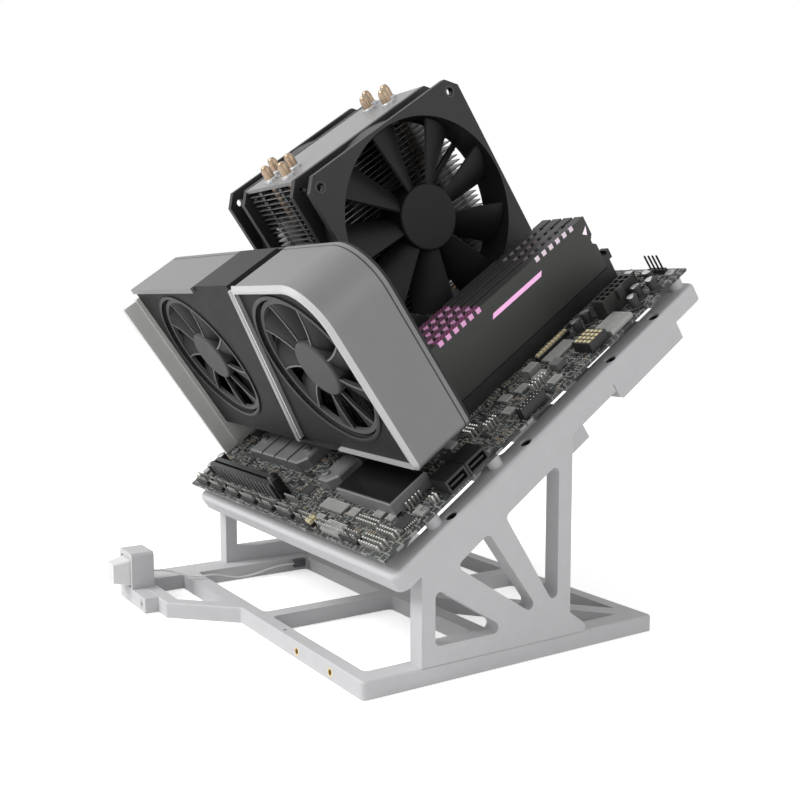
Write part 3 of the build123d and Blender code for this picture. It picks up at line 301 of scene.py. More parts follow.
def makeRotorGrey():
    # moulded rotor of the card's fans: grey hub and ring, dark blades
    material, point, shader = startMaterial("rotorPlastic")
    x, _, n = splitPoint(point)
    aside = compute("ABSOLUTE", compute("ADD", x, -rotor["middle"]))
    across, above = compute("SUBTRACT", aside, rotor["apart"]), compute("SUBTRACT", n, rotor["height"])
    arm = derive("ShaderNodeCombineXYZ", {0: across, 1: above})[0]
    radius = derive("ShaderNodeVectorMath", {0: arm}, operation="LENGTH")["Value"]
    slow = noise(point, 8)
    blade = mixColours(slow, "#1d1d1e", "#242425")
    ringed = mixColours(compute("GREATER_THAN", radius, rotor["ring"]), blade, "#5a5a5b")
    feed(shader, {
        "Base Color": mixColours(compute("LESS_THAN", radius, rotor["hub"]), ringed, "#4e4e4f"),
        "Roughness": spread(slow, 0.5, 0.6),
        "Specular IOR Level": 0.15,
    })
    return material


chipsetTop = 27.6


def makeChipsetPlate():
    # milled plate with a polished black top, its sides left grey
    material, point, shader = startMaterial("milledPlate")
    n = splitPoint(point)[2]
    top = compute("GREATER_THAN", n, chipsetTop)
    side = mixColours(noise(point, 6), "#6e6e6f", "#7a7a7b")
    feed(shader, {
        "Base Color": mixColours(top, side, "#0d0d0d"),
        "Roughness": spread(top, 0.5, 0.3),
        "Specular IOR Level": 0.3,
    })
    return material


# sizes in mm; tracks per mm are fewer and wider than real ones so that they show
mask = {
    "field": 11, "tracksPerMm": 0.83, "trackEdge": (0.24, 0.32), "bareShare": 0.45,
    "dotCell": 2.3, "dot": 0.15, "plotCell": 6, "plot": 0.34, "plotLine": 0.045,
}


def makeBoardMask():
    # black solder mask over copper: fields of different depth, grouped tracks, tinned points, outlines
    material, point, shader = startMaterial("blackSolderMask")
    x, s = splitPoint(point)[:2]
    patch = mosaic(point, mask["field"], distance="CHEBYCHEV")
    turnChance, trackChance, depthChance = derive("ShaderNodeSeparateColor", {0: patch["Color"]})
    field = mixColours(depthChance, "#0d0e0e", "#282a29")
    side = mixValues(compute("GREATER_THAN", turnChance, 0.5), x, s)
    track = compute("PINGPONG", compute("MULTIPLY", side, mask["tracksPerMm"]), 0.5)
    raised = spread(track, 0.0, 1.0, *mask["trackEdge"])
    shown = compute("MULTIPLY", raised, compute("GREATER_THAN", trackChance, mask["bareShare"]))
    lines = mixColours(shown, field, "#444846")
    dot = compute("LESS_THAN", mosaic(point, mask["dotCell"])["Distance"], mask["dot"])
    dotted = mixColours(dot, lines, "#a5a59e")
    plots = mosaic(point, mask["plotCell"], distance="CHEBYCHEV", voronoi_dimensions="2D")
    outline = compute("COMPARE", plots["Distance"], mask["plot"], mask["plotLine"])
    feed(shader, {
        "Base Color": mixColours(outline, dotted, "#8a8c89"),
        "Roughness": spread(dot, 0.44, 0.3),
        "Normal": bumps(shown, 0.3),
    })
    return material


# windows at both ends of the bars, middle and half length along the slope; outer module from one x on
lightBar = {
    "slant": 0.9, "pitch": 2.4, "line": 0.4, "top": 63.4, "low": (115.4, 17.8), "high": (196.1, 17.8),
    "outerFrom": 66.0, "outerPower": 0.75,
}


def makeLightBar():
    # dark diffuser lit from inside: glows behind the windows, with crossed lines of light on its low top
    material, point, shader = startMaterial("lightDiffuser")
    x, s, n = splitPoint(point)
    lines = []
    for slant in (1, -1):
        along = compute("ADD", s, compute("MULTIPLY", x, slant * lightBar["slant"]))
        wave = compute("PINGPONG", compute("MULTIPLY", along, 1 / lightBar["pitch"]), 0.5)
        lines.append(compute("GREATER_THAN", wave, lightBar["line"]))
    below = compute("LESS_THAN", n, lightBar["top"])
    shown = compute("MAXIMUM", compute("MAXIMUM", *lines), below)
    lowEnd = compute("COMPARE", s, *lightBar["low"])
    highEnd = compute("COMPARE", s, *lightBar["high"])
    lowLit = compute("MULTIPLY", shown, lowEnd)
    lit = compute("ADD", lowLit, compute("MULTIPLY", below, highEnd))
    # the outer module glows more than the three behind it
    outer = compute("GREATER_THAN", x, lightBar["outerFrom"])
    power = mixValues(outer, spread(highEnd, 0.4, 0.1), lightBar["outerPower"])
    feed(shader, {
        "Base Color": mixColours(noise(point, 6), "#1f1e1f", "#292829"),
        "Emission Color": mixColours(highEnd, mixColours(below, "#a2427e", "#f0aedd"), "#f6e4f2"),
        "Emission Strength": compute("MULTIPLY", lit, power),
        "Roughness": 0.45,
    })
    return material


def makePinkLight(name, low, high):
    # milky diffuser lit from behind, cloudy
    material, point, shader = startMaterial(name)
    tint = mixColours(noise(point, 5), low, high)
    feed(shader, {"Base Color": tint, "Emission Color": tint, "Emission Strength": 0.45, "Roughness": 0.4})
    return material


finishes["card_silver"] = makeCardSilver()
finishes["card_dark"] = makeCardDark()
finishes["rotor_grey"] = makeRotorGrey()
finishes["board_black"] = makeBoardMask()
finishes["pink_light"] = makeLightBar()
pinkLight = makePinkLight("litDiffuser", "#e9a3d8", "#f2c0e6")
paleLight = makePinkLight("paleDiffuser", "#f1d9ea", "#f8eaf4")
chipsetPlate = makeChipsetPlate()
for subpart in frame["record"]["subparts"]:
    mesh = nodes[subpart["node"]].data
    mesh.materials.clear()
    mesh.materials.append(finishes[subpart["material_slot"]])
ownFinish = {
    "card_bracket": bracketZinc, "front_fan_rotor": bladeBlack, "rear_fan_rotor": bladeBlack,
    "storage_cover": coverGrey, "chipset_sink": chipsetPlate, "lead_plug": plugGrey,
    "support_post": paleLitPrint,
}
for name, material in ownFinish.items():
    nodes[name].data.materials[0] = material
print("nodes dressed")


# modelling helpers, in millimetres: one piece at a time, in edit mode where faces change
def addBlock(name, size, centre=(0, 0, 0)):
    bpy.ops.object.select_all(action="DESELECT")
    bpy.ops.mesh.primitive_cube_add(size=mm, location=[c * mm for c in centre], scale=size)
    bpy.ops.object.transform_apply(location=True, rotation=True, scale=True)
    bpy.context.object.name = name
    return bpy.context.object


def addRound(name, radius, depth, centre=(0, 0, 0), sides=24, turn=(0, 0, 0)):
    bpy.ops.object.select_all(action="DESELECT")
    bpy.ops.mesh.primitive_cylinder_add(
        vertices=sides, radius=radius * mm, depth=depth * mm, location=[c * mm for c in centre], rotation=turn
    )
    bpy.ops.object.transform_apply(location=True, rotation=True, scale=True)
    bpy.context.object.name = name
    return bpy.context.object


# a block and a cylinder that stand on their place
def standBlock(name, size):
    return addBlock(name, size, (0, 0, size[2] / 2))


def standRound(name, radius, height, sides):
    return addRound(name, radius, height, (0, 0, height / 2), sides)


def pickFaces(piece, test):
    bpy.ops.object.select_all(action="DESELECT")
    bpy.context.view_layer.objects.active = piece
    piece.select_set(True)
    bpy.ops.object.mode_set(mode="EDIT")
    bpy.ops.mesh.select_mode(type="FACE")
    bpy.ops.mesh.select_all(action="DESELECT")
    edit = bmesh.from_edit_mesh(piece.data)
    for face in edit.faces:
        face.select_set(test(face.normal, face.calc_center_median() * toMm))
    edit.select_flush_mode()
    bmesh.update_edit_mesh(piece.data)


def upwards(normal, centre):
    return normal.z > 0.9


def everyFace(normal, centre):
    return True


def leaveEdit():
    bpy.ops.object.mode_set(mode="OBJECT")


def extrude(x, y, z):
    bpy.ops.mesh.extrude_region_move(TRANSFORM_OT_translate={"value": (x * mm, y * mm, z * mm)})


def inset(width):
    bpy.ops.mesh.inset(thickness=width * mm)


def slide(x, y, z):
    bpy.ops.transform.translate(value=(x * mm, y * mm, z * mm))


def shrink(x, y, z):
    bpy.ops.transform.resize(value=(x, y, z))


# steps the inset top up or down
def stepTop(piece, rim, rise):
    pickFaces(piece, upwards)
    inset(rim)
    slide(0, 0, rise)
    leaveEdit()


# draws the top out and narrows it
def drawTop(piece, *stages):
    pickFaces(piece, upwards)
    for rise, share in stages:
        extrude(0, 0, rise)
        shrink(share, share, 1)
    leaveEdit()


def sliceAt(piece, point, normal):
    pickFaces(piece, everyFace)
    bpy.ops.mesh.bisect(plane_co=[c * mm for c in point], plane_no=normal)
    leaveEdit()


def roundEdges(piece, width, segments=2):
    bpy.context.view_layer.objects.active = piece
    bevel = piece.modifiers.new("softEdge", "BEVEL")
    bevel.width = width * mm
    bevel.segments = segments
    bevel.limit_method = "ANGLE"
    bpy.ops.object.modifier_apply(modifier=bevel.name)


def smooth(piece):
    bpy.ops.object.select_all(action="DESELECT")
    bpy.context.view_layer.objects.active = piece
    piece.select_set(True)
    bpy.ops.object.shade_smooth_by_angle(angle=math.radians(38))


def cutOut(piece, cutter):
    bpy.context.view_layer.objects.active = piece
    cut = piece.modifiers.new("cut", "BOOLEAN")
    cut.object = cutter
    cut.operation = "DIFFERENCE"
    cut.solver = "EXACT"
    bpy.ops.object.modifier_apply(modifier=cut.name)
    bpy.data.objects.remove(cutter)


def joinTo(piece, other):
    bpy.ops.object.select_all(action="DESELECT")
    other.select_set(True)
    piece.select_set(True)
    bpy.context.view_layer.objects.active = piece
    bpy.ops.object.join()


def paint(piece, *materials):
    piece.data.materials.clear()
    for material in materials:
        piece.data.materials.append(material)


def paintFaces(piece, index, test):
    for polygon in piece.data.polygons:
        if test(polygon.normal, polygon.center * toMm):
            polygon.material_index = index


# one mesh from copies of the modelled piece
def repeat(piece, places):
    joined = bmesh.new()
    for place in places:
        single = piece.data.copy()
        single.transform(place)
        joined.from_mesh(single)
        bpy.data.meshes.remove(single)
    joined.to_mesh(piece.data)
    joined.free()


# lays the copies out, then gives the piece its body, and the slot's finish where it has no other
def settle(piece, slotName, places=None, base=toWorld, replaces=(), body="bench"):
    if not piece.data.materials:
        paint(piece, finishes[slotName])
    if places is not None:
        repeat(piece, places)
    piece.data.transform(base)
    piece.data.update()
    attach(piece, body)
    if replaces:
        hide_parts(*replaces)


def at(x, s, n, turn=0):
    return Matrix.Translation((x * mm, s * mm, n * mm)) @ Matrix.Rotation(math.radians(turn), 4, "Z")


# rows of places: first x and s, steps, counts, height
def grid(x, s, stepX, stepS, countX, countS, n):
    return [at(x + stepX * i, s + stepS * j, n) for i in range(countX) for j in range(countS)]


flip = Matrix.Rotation(math.pi, 4, "X")
facingDown = Matrix.Rotation(math.pi / 2, 4, "X")
facingBack = Matrix.Rotation(-math.pi / 2, 4, "X")
acrossX = Matrix.Rotation(math.pi / 2, 4, "Y")
bothSides = (1, -1)

# stage: pale floor that keeps a soft shadow, white surround
stage = {
    "paper": ("#f0f0f0", "#f4f4f4"), "size": 8, "level": -0.0002, "fill": 0.54, "lift": 0.55,
    "target": (0, 0, 0.12),
    "lamps": {"keyLamp": ((-0.5, -1.3, 1.25), 1.1, 26), "sideLamp": ((1.5, 0.3, 0.9), 1.0, 4)},
}


def seenRays(tree):
    ray = addNode(tree, "ShaderNodeLightPath").outputs
    direct = compute("MAXIMUM", ray["Is Camera Ray"], ray["Is Glossy Ray"])
    return compute("MAXIMUM", direct, ray["Is Transmission Ray"])


bpy.ops.object.select_all(action="DESELECT")
bpy.ops.mesh.primitive_plane_add(size=stage["size"], location=(0, 0, stage["level"]))
floor = bpy.context.object
floor.name = "studioFloor"
# matt studio paper
floorMaterial, point, shader = startMaterial("studioPaper")
feed(shader, {
    "Base Color": mixColours(noise(point, 400), *stage["paper"]),
    "Roughness": 0.9,
    "Emission Color": (1, 1, 1, 1),
    "Emission Strength": compute("MULTIPLY", seenRays(floorMaterial.node_tree), stage["lift"]),
})
floor.data.materials.append(floorMaterial)

world = bpy.data.worlds.new("studio")
bpy.context.scene.world = world
world.use_nodes = True
tree = world.node_tree
tree.nodes.clear()
strength = spread(seenRays(tree), stage["fill"], 1.0)
sky = addNode(tree, "ShaderNodeBackground", {0: (1, 1, 1, 1), 1: strength})
addNode(tree, "ShaderNodeOutputWorld", {0: sky.outputs[0]})

for name, (place, size, watts) in stage["lamps"].items():
    lampData = bpy.data.lights.new(name, "AREA")
    lampData.size = size
    lampData.energy = watts
    lamp = bpy.data.objects.new(name, lampData)
    lamp.location = place
    lamp.rotation_euler = (Vector(stage["target"]) - Vector(place)).to_track_quat("-Z", "Y").to_euler()
    bpy.context.scene.collection.objects.link(lamp)
print("stage and lamps set")

# power lead: thin twin wire, the route of the solid with its humps let down onto the rail
lead = {
    "diameter": 1.8,
    "length": 0.11,
    "coreRadius": 0.46,
    "coreShift": 0.44,
    "arcSteps": 9,
    "arcStepDeg": 33.75,
    "route": (
        (-89, -123.5, 18.3), (-89.6, -115, 17.4), (-90.6, -106.5, 14.2), (-87.8, -98.5, 11.2),
        (-84.4, -90.5, 10.9), (-85.2, -81.5, 10.6), (-89.5, -71.5, 7), (-94.6, -61, 3.2),
        (-97.6, -50, 2.6), (-98.6, -39.5, 4.4), (-98.6, -29, 6), (-97.5, -19, 6),
    ),
}
routeData = bpy.data.curves.new("leadRoute", "CURVE")
routeData.dimensions = "3D"
routeData.resolution_u = 8
spline = routeData.splines.new("NURBS")
spline.points.add(len(lead["route"]) - 1)
for spot, (x, y, z) in zip(spline.points, lead["route"]):
    spot.co = (x * mm, y * mm, z * mm, 1)
spline.order_u = 3
spline.use_endpoint_u = True
route = bpy.data.objects.new("leadRoute", routeData)
bpy.context.scene.collection.objects.link(route)
bpy.context.view_layer.update()
line = bpy.data.meshes.new_from_object(route)
bpy.data.meshes.remove(line)
# section of two round cores side by side
bpy.ops.object.select_all(action="DESELECT")
profileData = bpy.data.curves.new("twinSection", "CURVE")
profileData.dimensions = "2D"
section = profileData.splines.new("POLY")
outline = []
for side, firstDeg in ((1, -135), (-1, 45)):
    for step in range(lead["arcSteps"]):
        turn = math.radians(firstDeg + step * lead["arcStepDeg"])
        x = side * lead["coreShift"] + lead["coreRadius"] * math.cos(turn)
        outline.append((x, lead["coreRadius"] * math.sin(turn)))
section.points.add(len(outline) - 1)
for spot, (x, y) in zip(section.points, outline):
    spot.co = (x * mm, y * mm, 0, 1)
section.use_cyclic_u = True
profile = bpy.data.objects.new("twinSection", profileData)
bpy.context.scene.collection.objects.link(profile)
routeData.bevel_mode = "OBJECT"
routeData.bevel_object = profile
routeData.use_fill_caps = True
bpy.context.view_layer.update()
leadMesh = bpy.data.meshes.new_from_object(route.evaluated_get(bpy.context.evaluated_depsgraph_get()))
powerLead = bpy.data.objects.new("twinLead", leadMesh)
bpy.context.scene.collection.objects.link(powerLead)
bpy.data.objects.remove(route)
bpy.data.objects.remove(profile)
settle(powerLead, "lead_white", base=flat, replaces=["power_lead"])
print("lead laid,", len(leadMesh.polygons), "faces")

# places on the board, slope millimetres
boardTop = 19.0
boardUnder = 17.4
cooler = {
    "x": -35.5, "s": 165, "capTop": 163.7, "finBottom": 56, "finPitch": 3.2, "finCount": 34, "finWidth": 108,
}
slots = {"left": -100, "right": -11, "rows": (66, 5.04), "halfWidth": 3.75}
edgeHeader = {"first": -108, "apart": 24, "count": 9, "pins": 7, "row": -5.5}


# pan head with a cross recess; rim, dome and arm are shares of its radius and height
panHead = {"sides": 20, "rim": 0.3, "dome": 0.12, "arm": 1.1, "slit": 0.6, "depth": 1.6}


def makePanHead(name, radius, height):
    head = standRound(name, radius, height, panHead["sides"])
    stepTop(head, radius * panHead["rim"], height * panHead["dome"])
    arm, slit, depth = radius * panHead["arm"], panHead["slit"], panHead["depth"]
    for size in ((arm, slit, depth), (slit, arm, depth)):
        cutOut(head, addBlock("recess", size, (0, 0, height)))
    smooth(head)
    return head


# board screws; the memory stands over the upper middle place, which has none
boardScrew = {
    "columns": (-113.84, 41.1, 113.49), "rows": (227.15, 69.67, 23.95), "missing": (41.1, 227.15),
    "radius": 2.9, "height": 1.584,
}
screws = makePanHead("boardScrewHeads", boardScrew["radius"], boardScrew["height"])
spots = [(x, s) for x in boardScrew["columns"] for s in boardScrew["rows"] if (x, s) != boardScrew["missing"]]
places = [at(x, s, boardTop, 17 * i) for i, (x, s) in enumerate(spots)]
settle(screws, "bright_steel", places, replaces=["board_screws"])

# cover screws: x, s and turn; then the pair that holds the card's bracket
coverScrew = {
    "radius": 2.5, "height": 1.4, "n": 26, "spots": ((-21, 36, 10), (-79, 35.5, 40), (21.5, 23, 25)),
}
screws = makePanHead("coverScrewHeads", coverScrew["radius"], coverScrew["height"])
settle(screws, "bright_steel", [at(x, s, coverScrew["n"], turn) for x, s, turn in coverScrew["spots"]])
bracketScrew = {"radius": 2.2, "height": 1.9, "x": -126.5, "s": (41, 61), "n": 138.9, "turn": 15}
screws = makePanHead("bracketScrewHeads", bracketScrew["radius"], bracketScrew["height"])
places = [at(bracketScrew["x"], s, bracketScrew["n"], bracketScrew["turn"]) for s in bracketScrew["s"]]
settle(screws, "bright_steel", places, replaces=["bracket_screws"])

# socket screws of the tray and of the trusses, hexagon recess
socketScrew = {
    "radius": 3, "height": 2.6, "key": 1.45, "keyDepth": 3, "x": 118, "truss": (-47, 20),
    "tray": (32, 89, 160, 199), "trayTop": 9,
}


def makeSocketHead(name):
    height = socketScrew["height"]
    head = addRound(name, socketScrew["radius"], height, (0, 0, -height / 2), 24)
    roundEdges(head, 0.25)
    cutOut(head, addRound("key", socketScrew["key"], socketScrew["keyDepth"], (0, 0, 0), 6))
    smooth(head)
    return head


screws = makeSocketHead("trayScrewHeads")
settle(screws, "dark_steel", [
    at(side * socketScrew["x"], s, socketScrew["trayTop"], 8 * s)
    for side in bothSides for s in socketScrew["tray"]
], replaces=["tray_screws"])
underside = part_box("truss_screws")[0][2] / mm
screws = makeSocketHead("trussScrewHeads")
settle(screws, "dark_steel", [
    at(side * socketScrew["x"], y, underside) @ flip for side in bothSides for y in socketScrew["truss"]
], base=flat, replaces=["truss_screws"])
holderScrew = {"radius": 2.6, "height": 1.8, "base": 1.9}
screws = makePanHead("holderScrewHead", holderScrew["radius"], holderScrew["height"])
low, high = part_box("holder_screw")
middleX, middleZ = (low[0] + high[0]) / 2 / mm, (low[2] + high[2]) / 2 / mm
places = [at(middleX, low[1] / mm + holderScrew["base"], middleZ) @ facingDown]
settle(screws, "bright_steel", places, base=flat, replaces=["holder_screw"])
print("screws placed")

# can capacitors: black foot and sleeve, pinched waist, bare top with a dark part
can = {
    "radius": 3, "height": 8, "waist": (1.5, 2.4), "pinch": 0.9, "foot": (6.4, 6.4, 1.2), "darkFrom": 1.1,
    "spots": (
        (109, 204.5), (114, 195), (106, 219), (92, 219), (-108, 4), (-108, 13),
        (24, 190), (24, 199), (24, 208),
    ),
    "extra": ((90.5, 179.4), (91, 170.6), (114.4, 211.6)),
}
cans = standRound("canCapacitors", can["radius"], can["height"], 24)
for level in can["waist"]:
    sliceAt(cans, (0, 0, level), (0, 0, 1))
pickFaces(cans, lambda n, c: abs(n.z) < 0.1 and can["waist"][0] < c.z < can["waist"][1])
shrink(can["pinch"], can["pinch"], 1)
leaveEdit()
roundEdges(cans, 0.45)
sliceAt(cans, (can["darkFrom"], 0, 0), (1, 0, 0))
paint(cans, finishes["bare_aluminium"], finishes["chip_black"])
paintFaces(cans, 1, lambda n, c: n.z < 0.75 or (n.z > 0.9 and c.x > can["darkFrom"]))
smooth(cans)
foot = standBlock("canFoot", can["foot"])
roundEdges(foot, 0.4, 1)
paint(foot, finishes["chip_black"])
joinTo(cans, foot)
places = [at(x, s, boardTop, 35 * i) for i, (x, s) in enumerate(can["spots"] + can["extra"])]
settle(cans, "bare_aluminium", places, replaces=["capacitors"])


# square pin with a drawn tip that may lean
def makePin(name, shape, material):
    piece = standBlock(name, (shape["side"], shape["side"], shape["length"]))
    if "lean" in shape:
        pickFaces(piece, upwards)
        slide(*shape["lean"], 0)
        leaveEdit()
    drawTop(piece, (shape["tip"], shape["share"]))
    paint(piece, material)
    return piece


# header pins along the low edge, a few left out, and of the header at the right
pin = {"side": 0.64, "length": 5.8, "pitch": 2.54, "right": (115, 105), "tip": 0.5, "share": 0.4}
pins = makePin("headerPins", pin, tin)
places = []
for header in range(edgeHeader["count"]):
    middle = edgeHeader["first"] + edgeHeader["apart"] * header
    for i in range(edgeHeader["pins"]):
        for j in range(2):
            if (header * 5 + i + j * 3) % 11:
                s = edgeHeader["row"] + (j - 0.5) * pin["pitch"]
                places.append(at(middle + (i - 3) * pin["pitch"], s, boardTop))
for i in range(edgeHeader["pins"]):
    for j in range(2):
        x, s = pin["right"]
        places.append(at(x + (j - 0.5) * pin["pitch"], s + (i - 3) * pin["pitch"], boardTop))
settle(pins, "bright_steel", places)
tallPin = {
    "side": 0.8, "length": 11, "tip": 0.6, "share": 0.4, "lean": (-1.2, 0.4),
    "spots": (98.5, 229.5, 3, 0, 4, 1),
}
pins = makePin("cornerPins", tallPin, finishes["dark_steel"])
settle(pins, "dark_steel", grid(*tallPin["spots"], boardTop))
# pale pins in groups: first x and s, steps, counts
palePin = {
    "side": 1, "length": 4.2, "tip": 0.5, "share": 0.5,
    "groups": (
        (88, 77, 1.9, 2.6, 4, 3), (98, 84, 2, 2.4, 2, 4), (101, 118, 2.2, 2.6, 2, 5),
        (96.5, -7, 2.3, 2.5, 8, 3), (78, 4.5, 2.2, 2.4, 9, 2), (112.5, 30, 2.2, 2.4, 2, 2),
        (-2, 3.6, 2.2, 0, 6, 1), (100.4, 2.6, 2.2, 2.4, 7, 2), (101.6, 22, 0, 2.3, 1, 5),
    ),
}
pins = makePin("palePins", palePin, tin)
settle(pins, "bright_steel", [place for group in palePin["groups"] for place in grid(*group, boardTop)])

# beige cells of the square header, of the strip beside the memory and of two small headers at the low edge
cell = {
    "size": (2.1, 2.1, 2.2), "rim": 0.3, "rise": 0.25,
    "groups": (
        (105.2, 155.2, 3.2, 3.2, 4, 4, 23), (82.2, 144, 0, 2.6, 1, 10, 20.6),
        (42, -6.8, 2.6, 2.6, 2, 2, 21.4), (-119, -6, 2.6, 2.6, 2, 2, boardTop),
    ),
}
cells = standBlock("headerCells", cell["size"])
stepTop(cells, cell["rim"], cell["rise"])
paint(cells, cellNylon)
settle(cells, "ivory_nylon", [place for group in cell["groups"] for place in grid(*group)])
stripHeader = {"size": (3.4, 27, 2.6), "spot": (82.2, 155.7)}
strip = standBlock("stripHeader", stripHeader["size"])
roundEdges(strip, 0.3)
settle(strip, "black_nylon", [at(*stripHeader["spot"], boardTop)])
print("headers placed")

# lit strip and corner mark on the faces of the memory modules
module = {
    "x": (69, 59.5, 50, 40.5), "half": 3.6, "strip": (156.4, 54), "stripSize": (0.4, 41.8, 2.7), "lean": 2.2,
    "mark": (219.2, 55.5), "markRadius": 2.7, "markTurn": 50,
}
strips = addBlock("moduleStrips", module["stripSize"])
pickFaces(strips, upwards)
slide(0, module["lean"], 0)
leaveEdit()
roundEdges(strips, 0.12, 1)
marks = addRound(
    "moduleMark", module["markRadius"], module["stripSize"][0], sides=3, turn=(0, math.pi / 2, 0)
)
pickFaces(marks, everyFace)
shrink(1, 1.25, 0.75)
leaveEdit()
paint(marks, paleLight)
marks.data.transform(Matrix.Rotation(math.radians(module["markTurn"]), 4, "X"))
marks.data.transform(at(0, module["mark"][0] - module["strip"][0], module["mark"][1] - module["strip"][1]))
paint(strips, pinkLight)
joinTo(strips, marks)
places = [at(x + side * module["half"], *module["strip"]) for x in module["x"] for side in bothSides]
settle(strips, "pink_light", places)

# coils: ferrite blocks beside the cooler and at the right
coil = {"size": (6.6, 6.6, 4.8), "rim": 0.8, "sunk": 0.35}
coil["spots"] = [(-79, 136 + 9.4 * i) for i in range(8)] + [(-52 + 9.6 * i, 211.6) for i in range(4)]
coil["spots"] += [(86, 203), (102.5, 139)]
coils = standBlock("boardCoils", coil["size"])
roundEdges(coils, 0.6)
stepTop(coils, coil["rim"], -coil["sunk"])
paint(coils, ferrite)
settle(coils, "slot_grey", [at(x, s, boardTop) for x, s in coil["spots"]])

# pale pressed shields over small circuits: x, s and turn
shield = {
    "size": (8, 6, 1.8), "rim": 0.5, "sunk": 0.2,
    "spots": (
        (93, 118, 90), (88.5, 108.5, 0), (110, 128, 90), (101, 99.5, 0), (44, -1.5, 0), (66, 9, 0),
        (-120, 4, 90), (84, 68, 0), (86, 13.5, 0), (96.5, 15, 90), (112, 22.5, 0),
    ),
}
shields = standBlock("pressedShields", shield["size"])
roundEdges(shields, 0.35)
stepTop(shields, shield["rim"], -shield["sunk"])
paint(shields, paleShield)
settle(shields, "bright_steel", [at(x, s, boardTop, turn) for x, s, turn in shield["spots"]])

# larger pale covers: middle x and s, width, length, height
panel = {
    "rim": 0.06, "sunk": 0.06,
    "spots": (
        (111.6, 177.6, 14, 18, 3.4), (91, 152, 10.5, 20, 1.6), (87.5, 132.5, 6.5, 9, 4.6),
        (45, 9, 24, 7.4, 1.5), (66, -4.6, 19, 7.4, 3.4), (98, 128.5, 5, 9, 3.2),
    ),
}
panels = standBlock("paleCovers", (1, 1, 1))
stepTop(panels, panel["rim"], -panel["sunk"])
paint(panels, paleShield)
repeat(panels, [at(x, s, boardTop) @ Matrix.Diagonal((w, d, h, 1)) for x, s, w, d, h in panel["spots"]])
roundEdges(panels, 0.25, 1)
settle(panels, "bright_steel")

# gull legs round the larger chips: middle x and s, width, length
chip = {
    "spots": (
        (108, 14, 9, 9), (92, 60, 10, 7), (8, 14, 9, 7), (-112, 46, 11, 11),
        (88, 190, 13, 13), (80, 223.5, 8, 8), (106, 175.5, 8, 6),
    ),
    "leg": (0.5, 0.8, 0.2), "bend": (0, -0.35, 0.5), "reach": 0.75, "gap": 0.05, "pitch": 1.27, "margin": 1.2,
}
legs = addBlock("chipLegs", chip["leg"], (0, chip["reach"], chip["leg"][2] / 2))
pickFaces(legs, lambda n, c: n.y < -0.9)
extrude(*chip["bend"])
leaveEdit()
paint(legs, tin)
places = []
for x, s, width, length in chip["spots"]:
    for turn in (0, 90, 180, 270):
        half, reach = (length, width) if turn % 180 else (width, length)
        last = int((half - chip["margin"]) / chip["pitch"])
        for step in range(last + 1):
            shift = (step - last / 2) * chip["pitch"]
            places.append(at(x, s, boardTop, turn) @ at(shift, reach / 2 + chip["gap"], 0))
settle(legs, "bright_steel", places)

# card slots: upright ribs along both sides and a latch at the end
rib = {"size": (1.5, 0.6, 10), "middle": 5.2, "first": 3.5, "pitch": 5.9, "count": 15, "proud": 0.15}
ribs = addBlock("slotRibs", rib["size"], (0, 0, rib["middle"]))
pickFaces(ribs, upwards)
shrink(0.8, 0.6, 1)
leaveEdit()
paint(ribs, ribGrey)
settle(ribs, "slot_grey", [
    at(
        slots["left"] + rib["first"] + rib["pitch"] * i,
        row + side * (slots["halfWidth"] + rib["proud"]), boardTop,
    )
    for i in range(rib["count"]) for row in slots["rows"] for side in bothSides
])
latch = {
    "size": (5, 6.4, 11), "pastEnd": 2.7, "lean": (1.2, 0, 2.6), "taper": (0.7, 0.9, 1),
    "hook": (-1.4, 0, 2.2), "notch": (4, 2.2, 5), "notchAt": (-2.6, 0, 12),
}
latches = standBlock("slotLatches", latch["size"])
pickFaces(latches, upwards)
extrude(*latch["lean"])
shrink(*latch["taper"])
extrude(*latch["hook"])
leaveEdit()
roundEdges(latches, 0.5)
cutOut(latches, addBlock("notch", latch["notch"], latch["notchAt"]))
paint(latches, glossBlack)
smooth(latches)
places = [at(slots["right"] + latch["pastEnd"], row, boardTop) for row in slots["rows"]]
settle(latches, "black_nylon", places)
print("slots dressed")

# small parts over the free board: 1 mm cells are taken by the solids and the pieces that stand on it
scatter = {
    "seed": 11, "tries": 6000, "rows": (1, 5), "pitch": 2.1, "x": (-121, 117), "s": (-9, 231), "past": 0.5,
    "kinds": ("ceramic", "ceramic", "resistor", "resistor", "regulator"),
    "standing": (
        "processor_socket", "cooler_mount", "memory_sockets", "memory_latches", "heat_spreaders",
        "card_sockets", "power_socket", "chipset_sink", "storage_cover", "voltage_sinks", "rear_ports",
        "drive_ports", "pin_headers", "board_chips", "coin_cell", "capacitors", "board_screws",
    ),
    # headers and pins placed above: low and high x, low and high s
    "clear": (
        (80, 84.5, 142, 170), (95, 114, -8.5, -0.5), (77, 97, 3.5, 8), (111, 116, 29, 33.5),
        (-3, 10, 2.5, 4.6), (99, 115, 1.5, 6), (100.5, 102.7, 21, 32.5), (-121, -114, -8, -1.5),
        (87, 96, 76, 84), (97, 101.5, 83, 93), (100, 105, 117, 130),
    ),
    "margins": {"solid": 0.4, "coil": 3.6, "shield": 4.3, "chip": 1.5, "panel": 0.5},
}
taken = set()


def take(lowX, highX, lowS, highS):
    for x in range(math.floor(lowX), math.ceil(highX)):
        for s in range(math.floor(lowS), math.ceil(highS)):
            taken.add((x, s))


def takeRound(x, s, width, length, margin):
    take(x - width / 2 - margin, x + width / 2 + margin, s - length / 2 - margin, s + length / 2 + margin)


